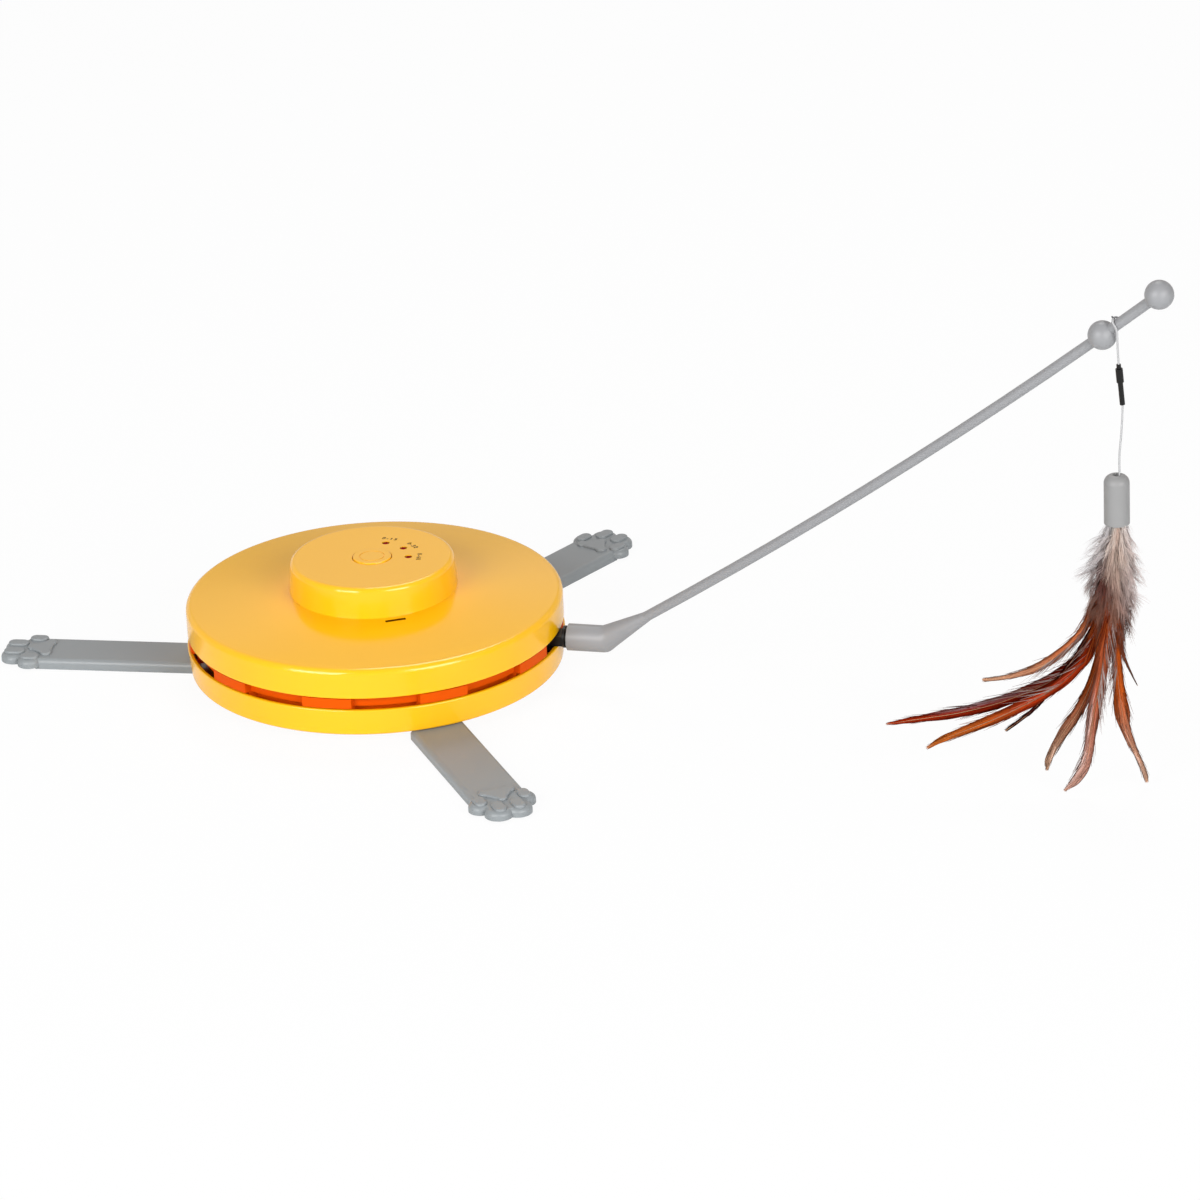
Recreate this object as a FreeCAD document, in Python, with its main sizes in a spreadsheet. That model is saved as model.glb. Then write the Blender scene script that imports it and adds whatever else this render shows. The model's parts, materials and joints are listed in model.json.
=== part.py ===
import FreeCAD, Part
import Sketcher
import math
import os

DOCUMENT = FreeCAD.newDocument("CatFeatherToy")
OUTPUT = "parts"

# Driving sizes in millimetres and degrees.
# Z 0 is the floor under the paws, the base's axis is Z, the viewer looks along +Y.
SIZES = {
    "base_bottom": (5.9, "bottom edge of the yellow base above the floor"),
    "base_bottom_radius": (94.0, "radius of the lower housing at its bottom edge"),
    "lip_radius": (95.4, "radius of the lower housing's lip"),
    "lip_top": (19.9, "height of the lip, the bottom of the slot"),
    "shell_wall": (2.2, "wall of both housings"),
    "drum_well_radius": (78.2, "inner wall of the channel that the turntable's drum hangs in"),
    "floor_top": (19.0, "top of the lower housing's inner floor"),
    "floor_thickness": (2.0, "thickness of that floor and of the bottom cover"),
    "bore_radius": (7.2, "hole for the leads through floor and column"),
    "column_radius": (10.5, "fixed column that the turntable turns on"),
    "column_flange": (17.0, "radius of the column's flange"),
    "column_top": (28.6, "top of the column"),
    "cover_radius": (80.0, "radius of the bottom cover"),
    "cover_screw_ring": (69.0, "distance of the cover screws from the axis"),
    "slot_top": (25.96, "bottom edge of the upper housing, the top of the slot"),
    "housing_radius": (95.0, "radius of the upper housing"),
    "rim_top": (41.0, "height of the upper housing's rim"),
    "rim_fillet": (3.2, "rounding of that rim"),
    "dome_radius": (42.7, "where the dome meets the flat land under the hub"),
    "dome_top": (45.8, "height of the land"),
    "collar_radius": (38.7, "collar that locates the hub cap"),
    "collar_top": (49.0, "top of the collar"),
    "post_ring": (40.0, "distance of the upper housing's posts from the axis"),
    "hub_foot_radius": (42.4, "radius of the hub cap at its foot"),
    "hub_top_radius": (41.1, "radius of the hub cap at its top"),
    "hub_top": (61.2, "height of the hub's top"),
    "hub_wall": (2.0, "thickness of the hub cap's roof"),
    "hub_fillet": (2.5, "rounding of the hub's top edge"),
    "button_radius": (9.7, "radius of the push button"),
    "button_gap": (0.3, "gap round the button"),
    "button_proud": (0.5, "button above the hub's top"),
    "button_travel": (0.8, "travel of the button"),
    "lamp_ring": (18.4, "distance of the lamps from the axis"),
    "lamp_radius": (1.85, "radius of a lamp's lens"),
    "board_bottom": (52.6, "underside of the control board"),
    "board_thickness": (1.6, "thickness of the control board"),
    "drum_radius": (86.5, "outer radius of the turntable's drum between its blocks"),
    "drum_bottom": (14.5, "bottom of the drum"),
    "drum_top": (30.0, "top of the drum"),
    "drum_wall": (2.2, "wall of the drum"),
    "web_bottom": (21.5, "underside of the turntable's web"),
    "web_thickness": (1.8, "thickness of the web"),
    "block_radius": (91.4, "outer radius of the drum's raised blocks"),
    "rim_radius": (90.5, "outer radius of the drum's rim in the slot, between the blocks"),
    "rim_block_radius": (94.4, "outer radius of the rim's blocks in the slot"),
    "block_width": (24.9, "width of a raised block"),
    "block_count": (10, "raised blocks round the drum"),
    "hub_bore": (12.62, "bore of the turntable for its bush"),
    "running_gap": (0.05, "radial clearance of a running fit"),
    "arm_azimuth": (-14.2, "direction in which the wand leaves the base"),
    "arm_height": (23.5, "height of the wand's swivel axis"),
    "pin_radius": (2.5, "radius of the swivel pin"),
    "sleeve_start": (100.0, "distance of the wand's sleeve from the base's axis"),
    "bend_distance": (118.4, "distance of the wand's bend from the base's axis"),
    "sleeve_radius": (6.8, "outer radius of the sleeve"),
    "sleeve_bore": (4.45, "bore of the sleeve"),
    "lean": (20.0, "turn of the wand about its swivel, towards the viewer"),
    "bend_angle": (36.09, "rise of the rod at the bend"),
    "taper_length": (29.6, "length of the taper after the bend"),
    "rod_radius": (2.6, "radius of the thin rod"),
    "rod_curve": (2905.0, "radius of the rod's slow upward curve"),
    "rod_length": (382.1, "length of the rod from the bend to the last ball"),
    "lower_ball": (343.3, "distance of the first ball along the rod"),
    "ball_radius": (7.0, "radius of the two balls"),
    "knot_offset": (10.0, "distance of the string's knot behind the first ball"),
    "string_radius": (0.5, "radius of the white string"),
    "cap_radius": (6.15, "radius of the cap that holds the feathers"),
    "cap_top": (75.6, "cap's top below the knot"),
    "cap_length": (24.8, "length of the cap"),
    "leg_first_azimuth": (49.9, "direction of the back leg, the others follow at a third of a turn"),
    "leg_width": (27.5, "width of a leg"),
    "leg_thickness": (5.4, "thickness of a leg"),
    "leg_start": (88.8, "where a leg's wide part starts"),
    "leg_neck": (171.2, "where a leg's straight edges end"),
    "paw_lift": (1.2, "underside of the toes above the floor"),
    "front_leg_out": (4.0, "how far the front leg stands out of its socket"),
    "tongue_width": (18.0, "width of the tongue that plugs into the base"),
    "tongue_start": (62.0, "inner end of the tongue"),
    "tongue_bottom": (2.15, "underside of the tongue"),
    "pad_height": (1.2, "height of the raised paw pads"),
    "battery_azimuth": (109.9, "direction of the battery box from the axis"),
    "cell_radius": (7.25, "radius of an AA cell"),
    "cell_length": (50.5, "length of an AA cell"),
    "cell_pitch": (15.2, "distance from cell to cell"),
    "first_cell": (22.0, "distance of the first cell from the axis"),
    "cell_height": (9.55, "height of the cells' axes"),
    "box_start": (14.3, "inner face of the battery box nearest the axis"),
    "box_end": (60.1, "inner face of the battery box farthest from the axis"),
    "box_half": (28.2, "half length of the battery box inside"),
    "box_wall": (1.5, "wall of the battery box"),
    "module_ring": (0.8, "module of the ring gear and the pinion that drives it"),
    "module_middle": (0.6, "module of the middle stage"),
    "module_motor": (0.5, "module of the motor stage"),
    "ring_teeth": (60, "teeth of the ring gear"),
    "pinion_two_teeth": (12, "teeth of the pinion that drives the ring gear"),
    "wheel_teeth": (40, "teeth of both stepped gears' wheels"),
    "pinion_one_teeth": (10, "teeth of the second pinion and the motor pinion"),
    "gear_two_azimuth": (200.0, "direction of the second gear's axis from the base's axis"),
    "gear_one_azimuth": (100.0, "direction of the first gear's axis from the second's"),
    "motor_azimuth": (55.0, "direction of the motor's axis from the first gear's"),
    "backlash": (0.10, "play between meshing teeth along the pitch circle"),
    "plate_radius": (43.0, "radius of the gearbox base plate"),
    "plate_thickness": (1.8, "thickness of both gearbox plates"),
    "gearbox_top": (41.0, "underside of the gearbox top plate"),
    "gear_pin_radius": (0.75, "radius of the gear pins and of the motor shaft"),
    "screw_gap": (0.05, "clearance round a screw"),
}


class Size:
    """A number that also carries the spreadsheet expression it comes from."""

    def __init__(self, value, text):
        self.value = float(value)
        self.text = text

    @staticmethod
    def of(item):
        """Returns the item as a Size, also when it is a plain number."""
        if isinstance(item, Size):
            return item
        return Size(item, f"({float(item)!r})")

    def _join(self, other, sign, value):
        return Size(value, f"({self.text} {sign} {Size.of(other).text})")

    def __add__(self, other):
        return self._join(other, "+", self.value + Size.of(other).value)

    def __sub__(self, other):
        return self._join(other, "-", self.value - Size.of(other).value)

    def __mul__(self, other):
        return self._join(other, "*", self.value * Size.of(other).value)

    def __truediv__(self, other):
        return self._join(other, "/", self.value / Size.of(other).value)

    def __radd__(self, other):
        return Size.of(other) + self

    def __rsub__(self, other):
        return Size.of(other) - self

    def __rmul__(self, other):
        return Size.of(other) * self

    def __neg__(self):
        return Size(-self.value, f"(0 - {self.text})")

    def __float__(self):
        return self.value


def sine(angle):
    """Returns the sine of an angle in degrees."""
    angle = Size.of(angle)
    return Size(math.sin(math.radians(angle.value)), f"sin({angle.text})")


def cosine(angle):
    """Returns the cosine of an angle in degrees."""
    angle = Size.of(angle)
    return Size(math.cos(math.radians(angle.value)), f"cos({angle.text})")


class Sheet:
    """The spreadsheet of driving sizes, read by name."""

    def __init__(self, sizes):
        self.table = DOCUMENT.addObject("Spreadsheet::Sheet", "Sizes")
        for row, (word, (value, note)) in enumerate(sizes.items(), start=1):
            self.table.set(f"A{row}", note)
            self.table.set(f"B{row}", repr(value))
            self.table.setAlias(f"B{row}", word)
        DOCUMENT.recompute()

    def __getattr__(self, word):
        return Size(self.table.get(word), f"Sizes.{word}")


s = Sheet(SIZES)


def bind(item, path, size):
    """Drives a property by a size."""
    item.setExpression(path, Size.of(size).text)


def place(item, x=0, y=0, z=0, turns=(), path="Placement"):
    """Drives a position and a chain of turns. The last turn in the chain happens first."""
    spin = " * ".join(f"rotation{axis}({Size.of(angle).text})" for axis, angle in turns)
    base = "; ".join(Size.of(number).text for number in (x, y, z))
    item.setExpression(path, f"create(<<placement>>; create(<<vector>>; {base}); {spin or 'rotationz(0)'})")
    return item


def around(radius, azimuth):
    """Returns x and y of a point at a distance and direction from the axis."""
    return radius * cosine(azimuth), radius * sine(azimuth)


# Sketches and the features built on them


def new_body(name):
    """Returns a new body whose label is the name of its part."""
    body = DOCUMENT.addObject("PartDesign::Body", name)
    body.Label = name
    return body


def sketch_on(body, role="XY_Plane", height=0, turn=0):
    """Returns a sketch on one of the body's planes, raised and turned about the plane's normal."""
    plane = [item for item in body.Origin.OriginFeatures if item.Role == role][0]
    sketch = body.newObject("Sketcher::SketchObject", f"{body.Name}_sketch")
    sketch.AttachmentSupport = [(plane, "")]
    sketch.MapMode = "FlatFace"
    place(sketch, z=height, turns=(("z", turn),), path="AttachmentOffset")
    return sketch


def fix_point(sketch, geometry, end, x, y):
    """Fixes a point of a sketch by its two distances from the origin."""
    for size, kind, axis in ((x, "DistanceX", -2), (y, "DistanceY", -1)):
        size = Size.of(size)
        if size.value == 0:
            sketch.addConstraint(Sketcher.Constraint("PointOnObject", geometry, end, axis))
        else:
            number = sketch.addConstraint(Sketcher.Constraint(kind, -1, 1, geometry, end, size.value))
            bind(sketch, f"Constraints[{number}]", size)


def polygon(sketch, points):
    """Draws a closed outline and fixes each corner."""
    corners = [(Size.of(x), Size.of(y)) for x, y in points]
    count = len(corners)
    first = sketch.GeometryCount
    lines = []
    for index in range(count):
        start = corners[index]
        stop = corners[(index + 1) % count]
        lines.append(
            Part.LineSegment(
                FreeCAD.Vector(start[0].value, start[1].value, 0),
                FreeCAD.Vector(stop[0].value, stop[1].value, 0),
            )
        )
    sketch.addGeometry(lines, False)
    sketch.addConstraint(
        [Sketcher.Constraint("Coincident", first + i, 2, first + (i + 1) % count, 1) for i in range(count)]
    )
    for index, (x, y) in enumerate(corners):
        fix_point(sketch, first + index, 1, x, y)


def rectangle(sketch, x_low, y_low, x_high, y_high):
    """Draws a rectangle."""
    polygon(sketch, [(x_low, y_low), (x_high, y_low), (x_high, y_high), (x_low, y_high)])


def circle(sketch, x, y, radius):
    """Draws a circle and fixes its centre and radius."""
    x, y, radius = Size.of(x), Size.of(y), Size.of(radius)
    curve = Part.Circle(FreeCAD.Vector(x.value, y.value, 0), FreeCAD.Vector(0, 0, 1), radius.value)
    number = sketch.addGeometry(curve, False)
    fix_point(sketch, number, 3, x, y)
    rule = sketch.addConstraint(Sketcher.Constraint("Radius", number, radius.value))
    bind(sketch, f"Constraints[{rule}]", radius)


def capsule(sketch, x_low, x_high, y, radius):
    """Draws a slot shape along X from the centre of one end to the centre of the other."""
    x_low, x_high, y, radius = (Size.of(item) for item in (x_low, x_high, y, radius))
    quarter = math.pi / 2
    normal = FreeCAD.Vector(0, 0, 1)
    centres = [FreeCAD.Vector(x.value, y.value, 0) for x in (x_high, x_low)]
    right = Part.ArcOfCircle(Part.Circle(centres[0], normal, radius.value), -quarter, quarter)
    left = Part.ArcOfCircle(Part.Circle(centres[1], normal, radius.value), quarter, 3 * quarter)
    up = FreeCAD.Vector(0, radius.value, 0)
    top = Part.LineSegment(centres[0] + up, centres[1] + up)
    bottom = Part.LineSegment(centres[1] - up, centres[0] - up)
    first = sketch.GeometryCount
    sketch.addGeometry([right, top, left, bottom], False)
    sketch.addConstraint(
        [Sketcher.Constraint("Tangent", first + i, 2, first + (i + 1) % 4, 1) for i in range(4)]
    )
    for number, x in ((first, x_high), (first + 2, x_low)):
        fix_point(sketch, number, 3, x, y)
    rule = sketch.addConstraint(Sketcher.Constraint("Radius", first, radius.value))
    bind(sketch, f"Constraints[{rule}]", radius)


def pad(body, sketch, length):
    """Raises a sketch into a solid."""
    feature = body.newObject("PartDesign::Pad", f"{body.Name}_pad")
    feature.Profile = sketch
    bind(feature, "Length", length)
    return feature


def cut(body, sketch, depth, upward=False):
    """Cuts a sketch out, downwards from its plane unless told otherwise."""
    feature = body.newObject("PartDesign::Pocket", f"{body.Name}_pocket")
    feature.Profile = sketch
    feature.Reversed = upward
    bind(feature, "Length", depth)
    return feature


def revolve(body, points, cutting=False):
    """Turns an outline, given as distances from the axis and heights, about the body's Z axis."""
    sketch = sketch_on(body, "XZ_Plane")
    polygon(sketch, points)
    kind = "Groove" if cutting else "Revolution"
    feature = body.newObject(f"PartDesign::{kind}", f"{body.Name}_{kind.lower()}")
    feature.Profile = sketch
    feature.ReferenceAxis = (sketch, ["V_Axis"])
    feature.Angle = 360
    return feature


def repeat(body, feature, sketch, count):
    """Repeats a feature round the Z axis."""
    pattern = body.newObject("PartDesign::PolarPattern", f"{body.Name}_pattern")
    pattern.Originals = [feature]
    pattern.Axis = (sketch, ["N_Axis"])
    pattern.Angle = 360
    bind(pattern, "Occurrences", count)
    body.Tip = pattern
    return pattern


def round_edges(body, radius, wanted):
    """Rounds the edges of the body so far that pass a test."""
    DOCUMENT.recompute()
    tip = body.Tip
    names = [f"Edge{i}" for i, edge in enumerate(tip.Shape.Edges, start=1) if wanted(edge)]
    if not names:
        raise RuntimeError(f"{body.Name}: no edge to round")
    feature = body.newObject("PartDesign::Fillet", f"{body.Name}_fillet")
    feature.Base = (tip, names)
    bind(feature, "Radius", radius)
    return feature


def ring_edge(*rings):
    """Returns a test for circles about the Z axis, given as pairs of radius and height."""
    targets = [(float(radius), float(height)) for radius, height in rings]

    def test(edge):
        if edge.Curve.TypeId != "Part::GeomCircle":
            return False
        centre = edge.Curve.Center
        if math.hypot(centre.x, centre.y) > 0.01:
            return False
        return any(abs(edge.Curve.Radius - r) < 0.01 and abs(centre.z - h) < 0.01 for r, h in targets)

    return test


def flat_edge(height, x_above=-1e9):
    """Returns a test for edges that lie at one height, beyond a given x."""
    height = float(height)
    x_above = float(x_above)

    def test(edge):
        box = edge.BoundBox
        level = abs(box.ZMin - height) < 0.01 and abs(box.ZMax - height) < 0.01
        return level and box.XMin > x_above

    return test


# Plain solids and how they are joined


def cylinder(name, radius, height, x=0, y=0, z=0, turns=()):
    """Returns a cylinder that rises from its place along its own Z."""
    item = DOCUMENT.addObject("Part::Cylinder", name)
    bind(item, "Radius", radius)
    bind(item, "Height", height)
    return place(item, x, y, z, turns)


def box(name, x_low, y_low, z_low, x_high, y_high, z_high):
    """Returns a box between two corners."""
    item = DOCUMENT.addObject("Part::Box", name)
    bind(item, "Length", Size.of(x_high) - x_low)
    bind(item, "Width", Size.of(y_high) - y_low)
    bind(item, "Height", Size.of(z_high) - z_low)
    return place(item, x_low, y_low, z_low)


def ball(name, radius, x=0, y=0, z=0):
    """Returns a ball."""
    item = DOCUMENT.addObject("Part::Sphere", name)
    bind(item, "Radius", radius)
    return place(item, x, y, z)


def fuse(name, shapes):
    """Joins solids into one."""
    item = DOCUMENT.addObject("Part::MultiFuse", name)
    item.Shapes = shapes
    item.Refine = True
    return item


def subtract(name, base, tool):
    """Takes one solid out of another."""
    item = DOCUMENT.addObject("Part::Cut", name)
    item.Base = base
    item.Tool = tool
    item.Refine = True
    return item


def group(name, shapes):
    """Keeps several separate solids in one part."""
    item = DOCUMENT.addObject("Part::Compound", name)
    item.Links = shapes
    return item


def screw(name, x, y, head, shank):
    """Returns an upright screw. Head and shank are given as radius, low and high."""
    pieces = []
    for word, (radius, low, high) in (("head", head), ("shank", shank)):
        pieces.append(cylinder(f"{name}_{word}", radius, Size.of(high) - low, x, y, low))
    return fuse(name, pieces)


def lying_cylinder(name, radius, x_low, x_high, y, z):
    """Returns a cylinder that lies along X."""
    return cylinder(name, radius, Size.of(x_high) - x_low, x_low, y, z, (("y", 90),))


# Gears


def involute(angle):
    """Returns the involute function of an angle in radians."""
    return math.tan(angle) - angle


def tooth_outline(teeth, module):
    """Returns the corners of one tooth about the X axis, as multiples of the module."""
    count = int(float(teeth))
    pitch = count / 2
    base = pitch * math.cos(math.radians(20))
    root = pitch - 1.0
    tip = pitch + 0.8
    play = float(s.backlash) / float(module)
    half = (math.pi / 2 - play / 2) / 2 / pitch
    upper = []
    lowest = max(base, root)
    for step in range(5):
        radius = lowest + (tip - lowest) * step / 4
        angle = half + involute(math.radians(20)) - involute(math.acos(base / radius))
        upper.append((radius * math.cos(angle), radius * math.sin(angle)))
    foot = half + involute(math.radians(20)) - involute(math.acos(base / lowest))
    start = root - 0.3
    upper.insert(0, (start * math.cos(foot), start * math.sin(foot)))
    return [(x, -y) for x, y in upper] + [(x, y) for x, y in reversed(upper)]


def toothed_disc(body, teeth, module, low, high, phase):
    """Adds a disc with teeth to a body, one tooth pointing in the direction of the phase."""
    blank = sketch_on(body, height=low)
    circle(blank, 0, 0, module * (teeth / 2 - 1.0))
    pad(body, blank, Size.of(high) - low)
    tooth = sketch_on(body, height=low, turn=phase)
    polygon(tooth, [(module * x, module * y) for x, y in tooth_outline(teeth, module)])
    one = pad(body, tooth, Size.of(high) - low)
    repeat(body, one, tooth, teeth)


# Tubes that follow a path


def vector(point):
    """Returns a point as a vector of plain numbers."""
    return FreeCAD.Vector(*(float(item) for item in point))


def path_of(points):
    """Returns straight runs joined by tangent arcs through a list of points."""
    corners = [vector(point) for point in points]
    edges = []
    last = corners[0]
    for before, corner, after in zip(corners, corners[1:], corners[2:]):
        into = (before - corner).normalize()
        out = (after - corner).normalize()
        half = (math.pi - into.getAngle(out)) / 2
        if half < 0.01:
            continue
        reach = 0.45 * min((before - corner).Length, (after - corner).Length)
        start = corner + into * reach
        stop = corner + out * reach
        radius = reach / math.tan(half)
        middle_line = (into + out).normalize()
        middle = corner + middle_line * (radius / math.cos(half) - radius)
        edges.append(Part.LineSegment(last, start).toShape())
        edges.append(Part.Arc(start, middle, stop).toShape())
        last = stop
    edges.append(Part.LineSegment(last, corners[-1]).toShape())
    return Part.Wire(edges)


def tube_shape(points, radius):
    """Returns a round solid that follows a path."""
    spine = path_of(points)
    radius = float(radius)
    start = spine.Edges[0].valueAt(spine.Edges[0].FirstParameter)
    along = spine.Edges[0].tangentAt(spine.Edges[0].FirstParameter)
    ring = Part.Wire([Part.makeCircle(radius, start, along)])
    solid = spine.makePipeShell([ring], True, False)
    expected = math.pi * radius**2 * spine.Length
    if abs(solid.Volume / expected - 1) > 0.02:
        raise RuntimeError(f"tube volume {solid.Volume:.2f} instead of {expected:.2f}")
    return solid, spine.Length


def shape_part(name, shape, base=None):
    """Returns a part that holds a computed shape, moved to its place."""
    item = DOCUMENT.addObject("Part::Feature", name)
    item.Shape = shape
    item.Placement = FreeCAD.Placement(base or FreeCAD.Vector(), FreeCAD.Rotation())
    return item


def report_length(name, length):
    """Prints the length of a flexible piece."""
    print(f"{name}: length {length:.1f} mm")


# Lower housing: skirt with flared lip, well for the drum, inner floor with screw bosses


def leg_azimuth(number):
    """Returns the direction of a leg."""
    return s.leg_first_azimuth + 120 * number


COVER_SCREWS = (30.0, 90.0, 180.0, -60.0)
CUP_TOP = 4.5


def cover_screw_places():
    """Returns the places of the four cover screws between the legs."""
    return [around(s.cover_screw_ring, s.leg_first_azimuth + turn) for turn in COVER_SCREWS]


def column_screw_places():
    """Returns the places of the three screws in the column's flange."""
    return [around(Size.of(14.5), leg_azimuth(number)) for number in range(3)]


def lower_housing():
    """Builds the lower housing."""
    body = new_body("lower_housing")
    floor_bottom = s.floor_top - s.floor_thickness
    inner_lip = s.lip_radius - s.shell_wall
    well = s.drum_well_radius
    revolve(body, [
        (well - s.shell_wall, s.base_bottom),
        (s.base_bottom_radius, s.base_bottom),
        (s.lip_radius, s.lip_top),
        (inner_lip, s.lip_top),
        (s.base_bottom_radius - s.shell_wall, s.base_bottom + s.shell_wall),
        (well, s.base_bottom + s.shell_wall),
        (well, s.floor_top),
        (s.bore_radius, s.floor_top),
        (s.bore_radius, floor_bottom),
        (well - s.shell_wall, floor_bottom),
    ])
    bosses = sketch_on(body, height=CUP_TOP)
    for x, y in cover_screw_places():
        circle(bosses, x, y, 3.6)
    pad(body, bosses, floor_bottom + 0.5 - CUP_TOP)
    small = sketch_on(body, height=12.0)
    for x, y in column_screw_places():
        circle(small, x, y, 2.6)
    pad(body, small, floor_bottom + 0.5 - 12.0)
    holes = sketch_on(body, height=CUP_TOP)
    for x, y in cover_screw_places():
        circle(holes, x, y, 1.2)
    cut(body, holes, 11.0, upward=True)
    drilled = sketch_on(body, height=s.floor_top)
    for x, y in column_screw_places():
        circle(drilled, x, y, 1.15)
    cut(body, drilled, s.floor_top - 12.6)
    round_edges(body, 1.6, ring_edge((s.base_bottom_radius, s.base_bottom)))
    round_edges(body, 0.7, ring_edge((s.lip_radius, s.lip_top), (inner_lip, s.lip_top)))
    return body


# Bottom cover: tray with leg sockets, screw cups and the battery box


def bottom_cover():
    """Builds the bottom cover."""
    body = new_body("bottom_cover")
    floor = s.floor_thickness
    outer = s.cover_radius
    spigot = s.drum_well_radius - s.shell_wall - 0.4
    revolve(body, [
        (0, 0),
        (outer - 0.8, 0),
        (outer, 0.8),
        (outer, s.base_bottom),
        (outer - s.shell_wall, s.base_bottom),
        (outer - s.shell_wall, floor),
        (spigot, floor),
        (spigot, 9.0),
        (spigot - 1.8, 9.0),
        (spigot - 1.8, floor),
        (0, floor),
    ])
    cups = sketch_on(body, height=floor - 0.5)
    for x, y in cover_screw_places():
        circle(cups, x, y, 4.4)
    pad(body, cups, CUP_TOP + 0.5 - floor)
    for number in range(3):
        block = sketch_on(body, height=floor - 0.5, turn=leg_azimuth(number))
        rectangle(block, 58.0, -12.0, 74.5, 12.0)
        pad(body, block, s.leg_thickness + 2.4 + 0.5 - floor)
    walls = sketch_on(body, height=floor - 0.5, turn=s.battery_azimuth)
    wall = s.box_wall
    rectangle(walls, s.box_start - wall, -s.box_half - wall, s.box_end + wall, s.box_half + wall)
    pad(body, walls, s.floor_top - s.floor_thickness - 0.4 + 0.5 - floor)
    for number in range(3):
        socket = sketch_on(body, height=floor, turn=leg_azimuth(number))
        half = s.tongue_width / 2 + 0.3
        rectangle(socket, s.tongue_start - 2.0, -half, 76.0, half)
        cut(body, socket, s.leg_thickness + 0.4 - floor, upward=True)
        window = sketch_on(body, height=floor, turn=leg_azimuth(number))
        rectangle(window, 75.9, -half, outer + 1.0, half)
        cut(body, window, s.base_bottom + 0.5 - floor, upward=True)
    room = sketch_on(body, height=floor, turn=s.battery_azimuth)
    rectangle(room, s.box_start, -s.box_half, s.box_end, s.box_half)
    cut(body, room, s.floor_top, upward=True)
    opening = sketch_on(body, height=floor, turn=s.battery_azimuth)
    rectangle(opening, s.box_start + 0.7, -s.box_half + 2.2, s.box_end - 0.5, s.box_half - 2.2)
    cut(body, opening, floor + 1.0)
    for side in (-1, 1):
        hook = sketch_on(body, height=floor, turn=s.battery_azimuth)
        low, high = sorted((side * 8.0, side * 16.0))
        rectangle(hook, s.box_start - wall - 0.3, low, s.box_start + 0.3, high)
        cut(body, hook, 2.8, upward=True)
    lead = sketch_on(body, height=CUP_TOP + 5.5, turn=s.battery_azimuth)
    for side in (-1, 1):
        rectangle(lead, s.box_start - wall - 0.3, side * 12.0 - 1.0, s.box_start + 0.3, side * 12.0 + 1.0)
    cut(body, lead, 2.0, upward=True)
    screws = sketch_on(body)
    for x, y in cover_screw_places():
        circle(screws, x, y, 1.7)
    cut(body, screws, CUP_TOP + 1.0, upward=True)
    recess = sketch_on(body)
    for x, y in cover_screw_places():
        circle(recess, x, y, 3.1)
    cut(body, recess, 2.9, upward=True)
    return body


def cover_screws():
    """Builds the four screws that hold the bottom cover."""
    members = []
    for number, (x, y) in enumerate(cover_screw_places()):
        members.append(screw(f"cover_screw_{number}", x, y, (2.9, 1.1, 2.9), (1.15, 2.9, 14.5)))
    return group("cover_screws", members)


# Batteries


def battery_door():
    """Builds the snap-in battery door with its two hooks."""
    body = new_body("battery_door")
    near = s.box_start + 1.0
    plate = sketch_on(body, height=0.25)
    rectangle(plate, near, -s.box_half + 2.5, s.box_end - 0.8, s.box_half - 2.5)
    pad(body, plate, 1.55)
    for side in (-1, 1):
        low, high = sorted((side * 9.0, side * 15.0))
        neck = sketch_on(body, height=1.7)
        rectangle(neck, near, low, near + 1.0, high)
        pad(body, neck, 1.15)
        tab = sketch_on(body, height=2.05)
        rectangle(tab, near - 2.4, low, near + 0.5, high)
        pad(body, tab, 0.8)
        rib = sketch_on(body, height=1.7)
        low, high = sorted((side * 18.0, side * 19.2))
        rectangle(rib, near + 3.0, low, s.box_end - 4.0, high)
        pad(body, rib, s.cell_height - s.cell_radius - 0.02 - 1.7)
    grip = sketch_on(body, height=0.25)
    capsule(grip, s.box_end - 6.0, s.box_end - 5.0, 0, 2.4)
    cut(body, grip, 0.6, upward=True)
    place(body, turns=(("z", s.battery_azimuth),))
    return body


def battery_cells():
    """Builds the three cells, the middle one turned round."""
    members = []
    for number, side in enumerate((1, -1, 1)):
        x = s.first_cell + s.cell_pitch * number
        end = s.box_half - 0.55
        tall = s.cell_length - 1.0
        start = (end - s.cell_length) * side
        turns = (("x", -90 * side),)
        can = cylinder(f"cell_{number}_can", s.cell_radius, tall, x, start, s.cell_height, turns)
        tip_start = (end - 1.0) * side
        tip = cylinder(f"cell_{number}_tip", 2.7, 1.0, x, tip_start, s.cell_height, turns)
        members.append(fuse(f"cell_{number}", [can, tip]))
    return place(group("battery_cells", members), turns=(("z", s.battery_azimuth),))


def battery_contacts():
    """Builds the two contact plates at the ends of the battery box."""
    members = []
    for word, side in (("near", -1), ("far", 1)):
        faces = sorted((side * (float(s.box_half) - 0.5), side * float(s.box_half)))
        members.append(box(f"contact_{word}", s.box_start + 0.4, faces[0], 3.0, s.box_end - 0.4, faces[1], 15.5))
    return place(group("battery_contacts", members), turns=(("z", s.battery_azimuth),))


def arc_from(start, tangent, stop):
    """Returns the arc that leaves a point along a tangent and ends at another point."""
    chord = stop - start
    along = FreeCAD.Vector(chord).normalize()
    slope = tangent.getAngle(along)
    bulge = (tangent - along * tangent.dot(along)).normalize()
    middle = (start + stop) * 0.5 + bulge * (chord.Length / 2 * math.tan(slope / 2))
    return Part.Arc(start, middle, stop).toShape()


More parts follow.
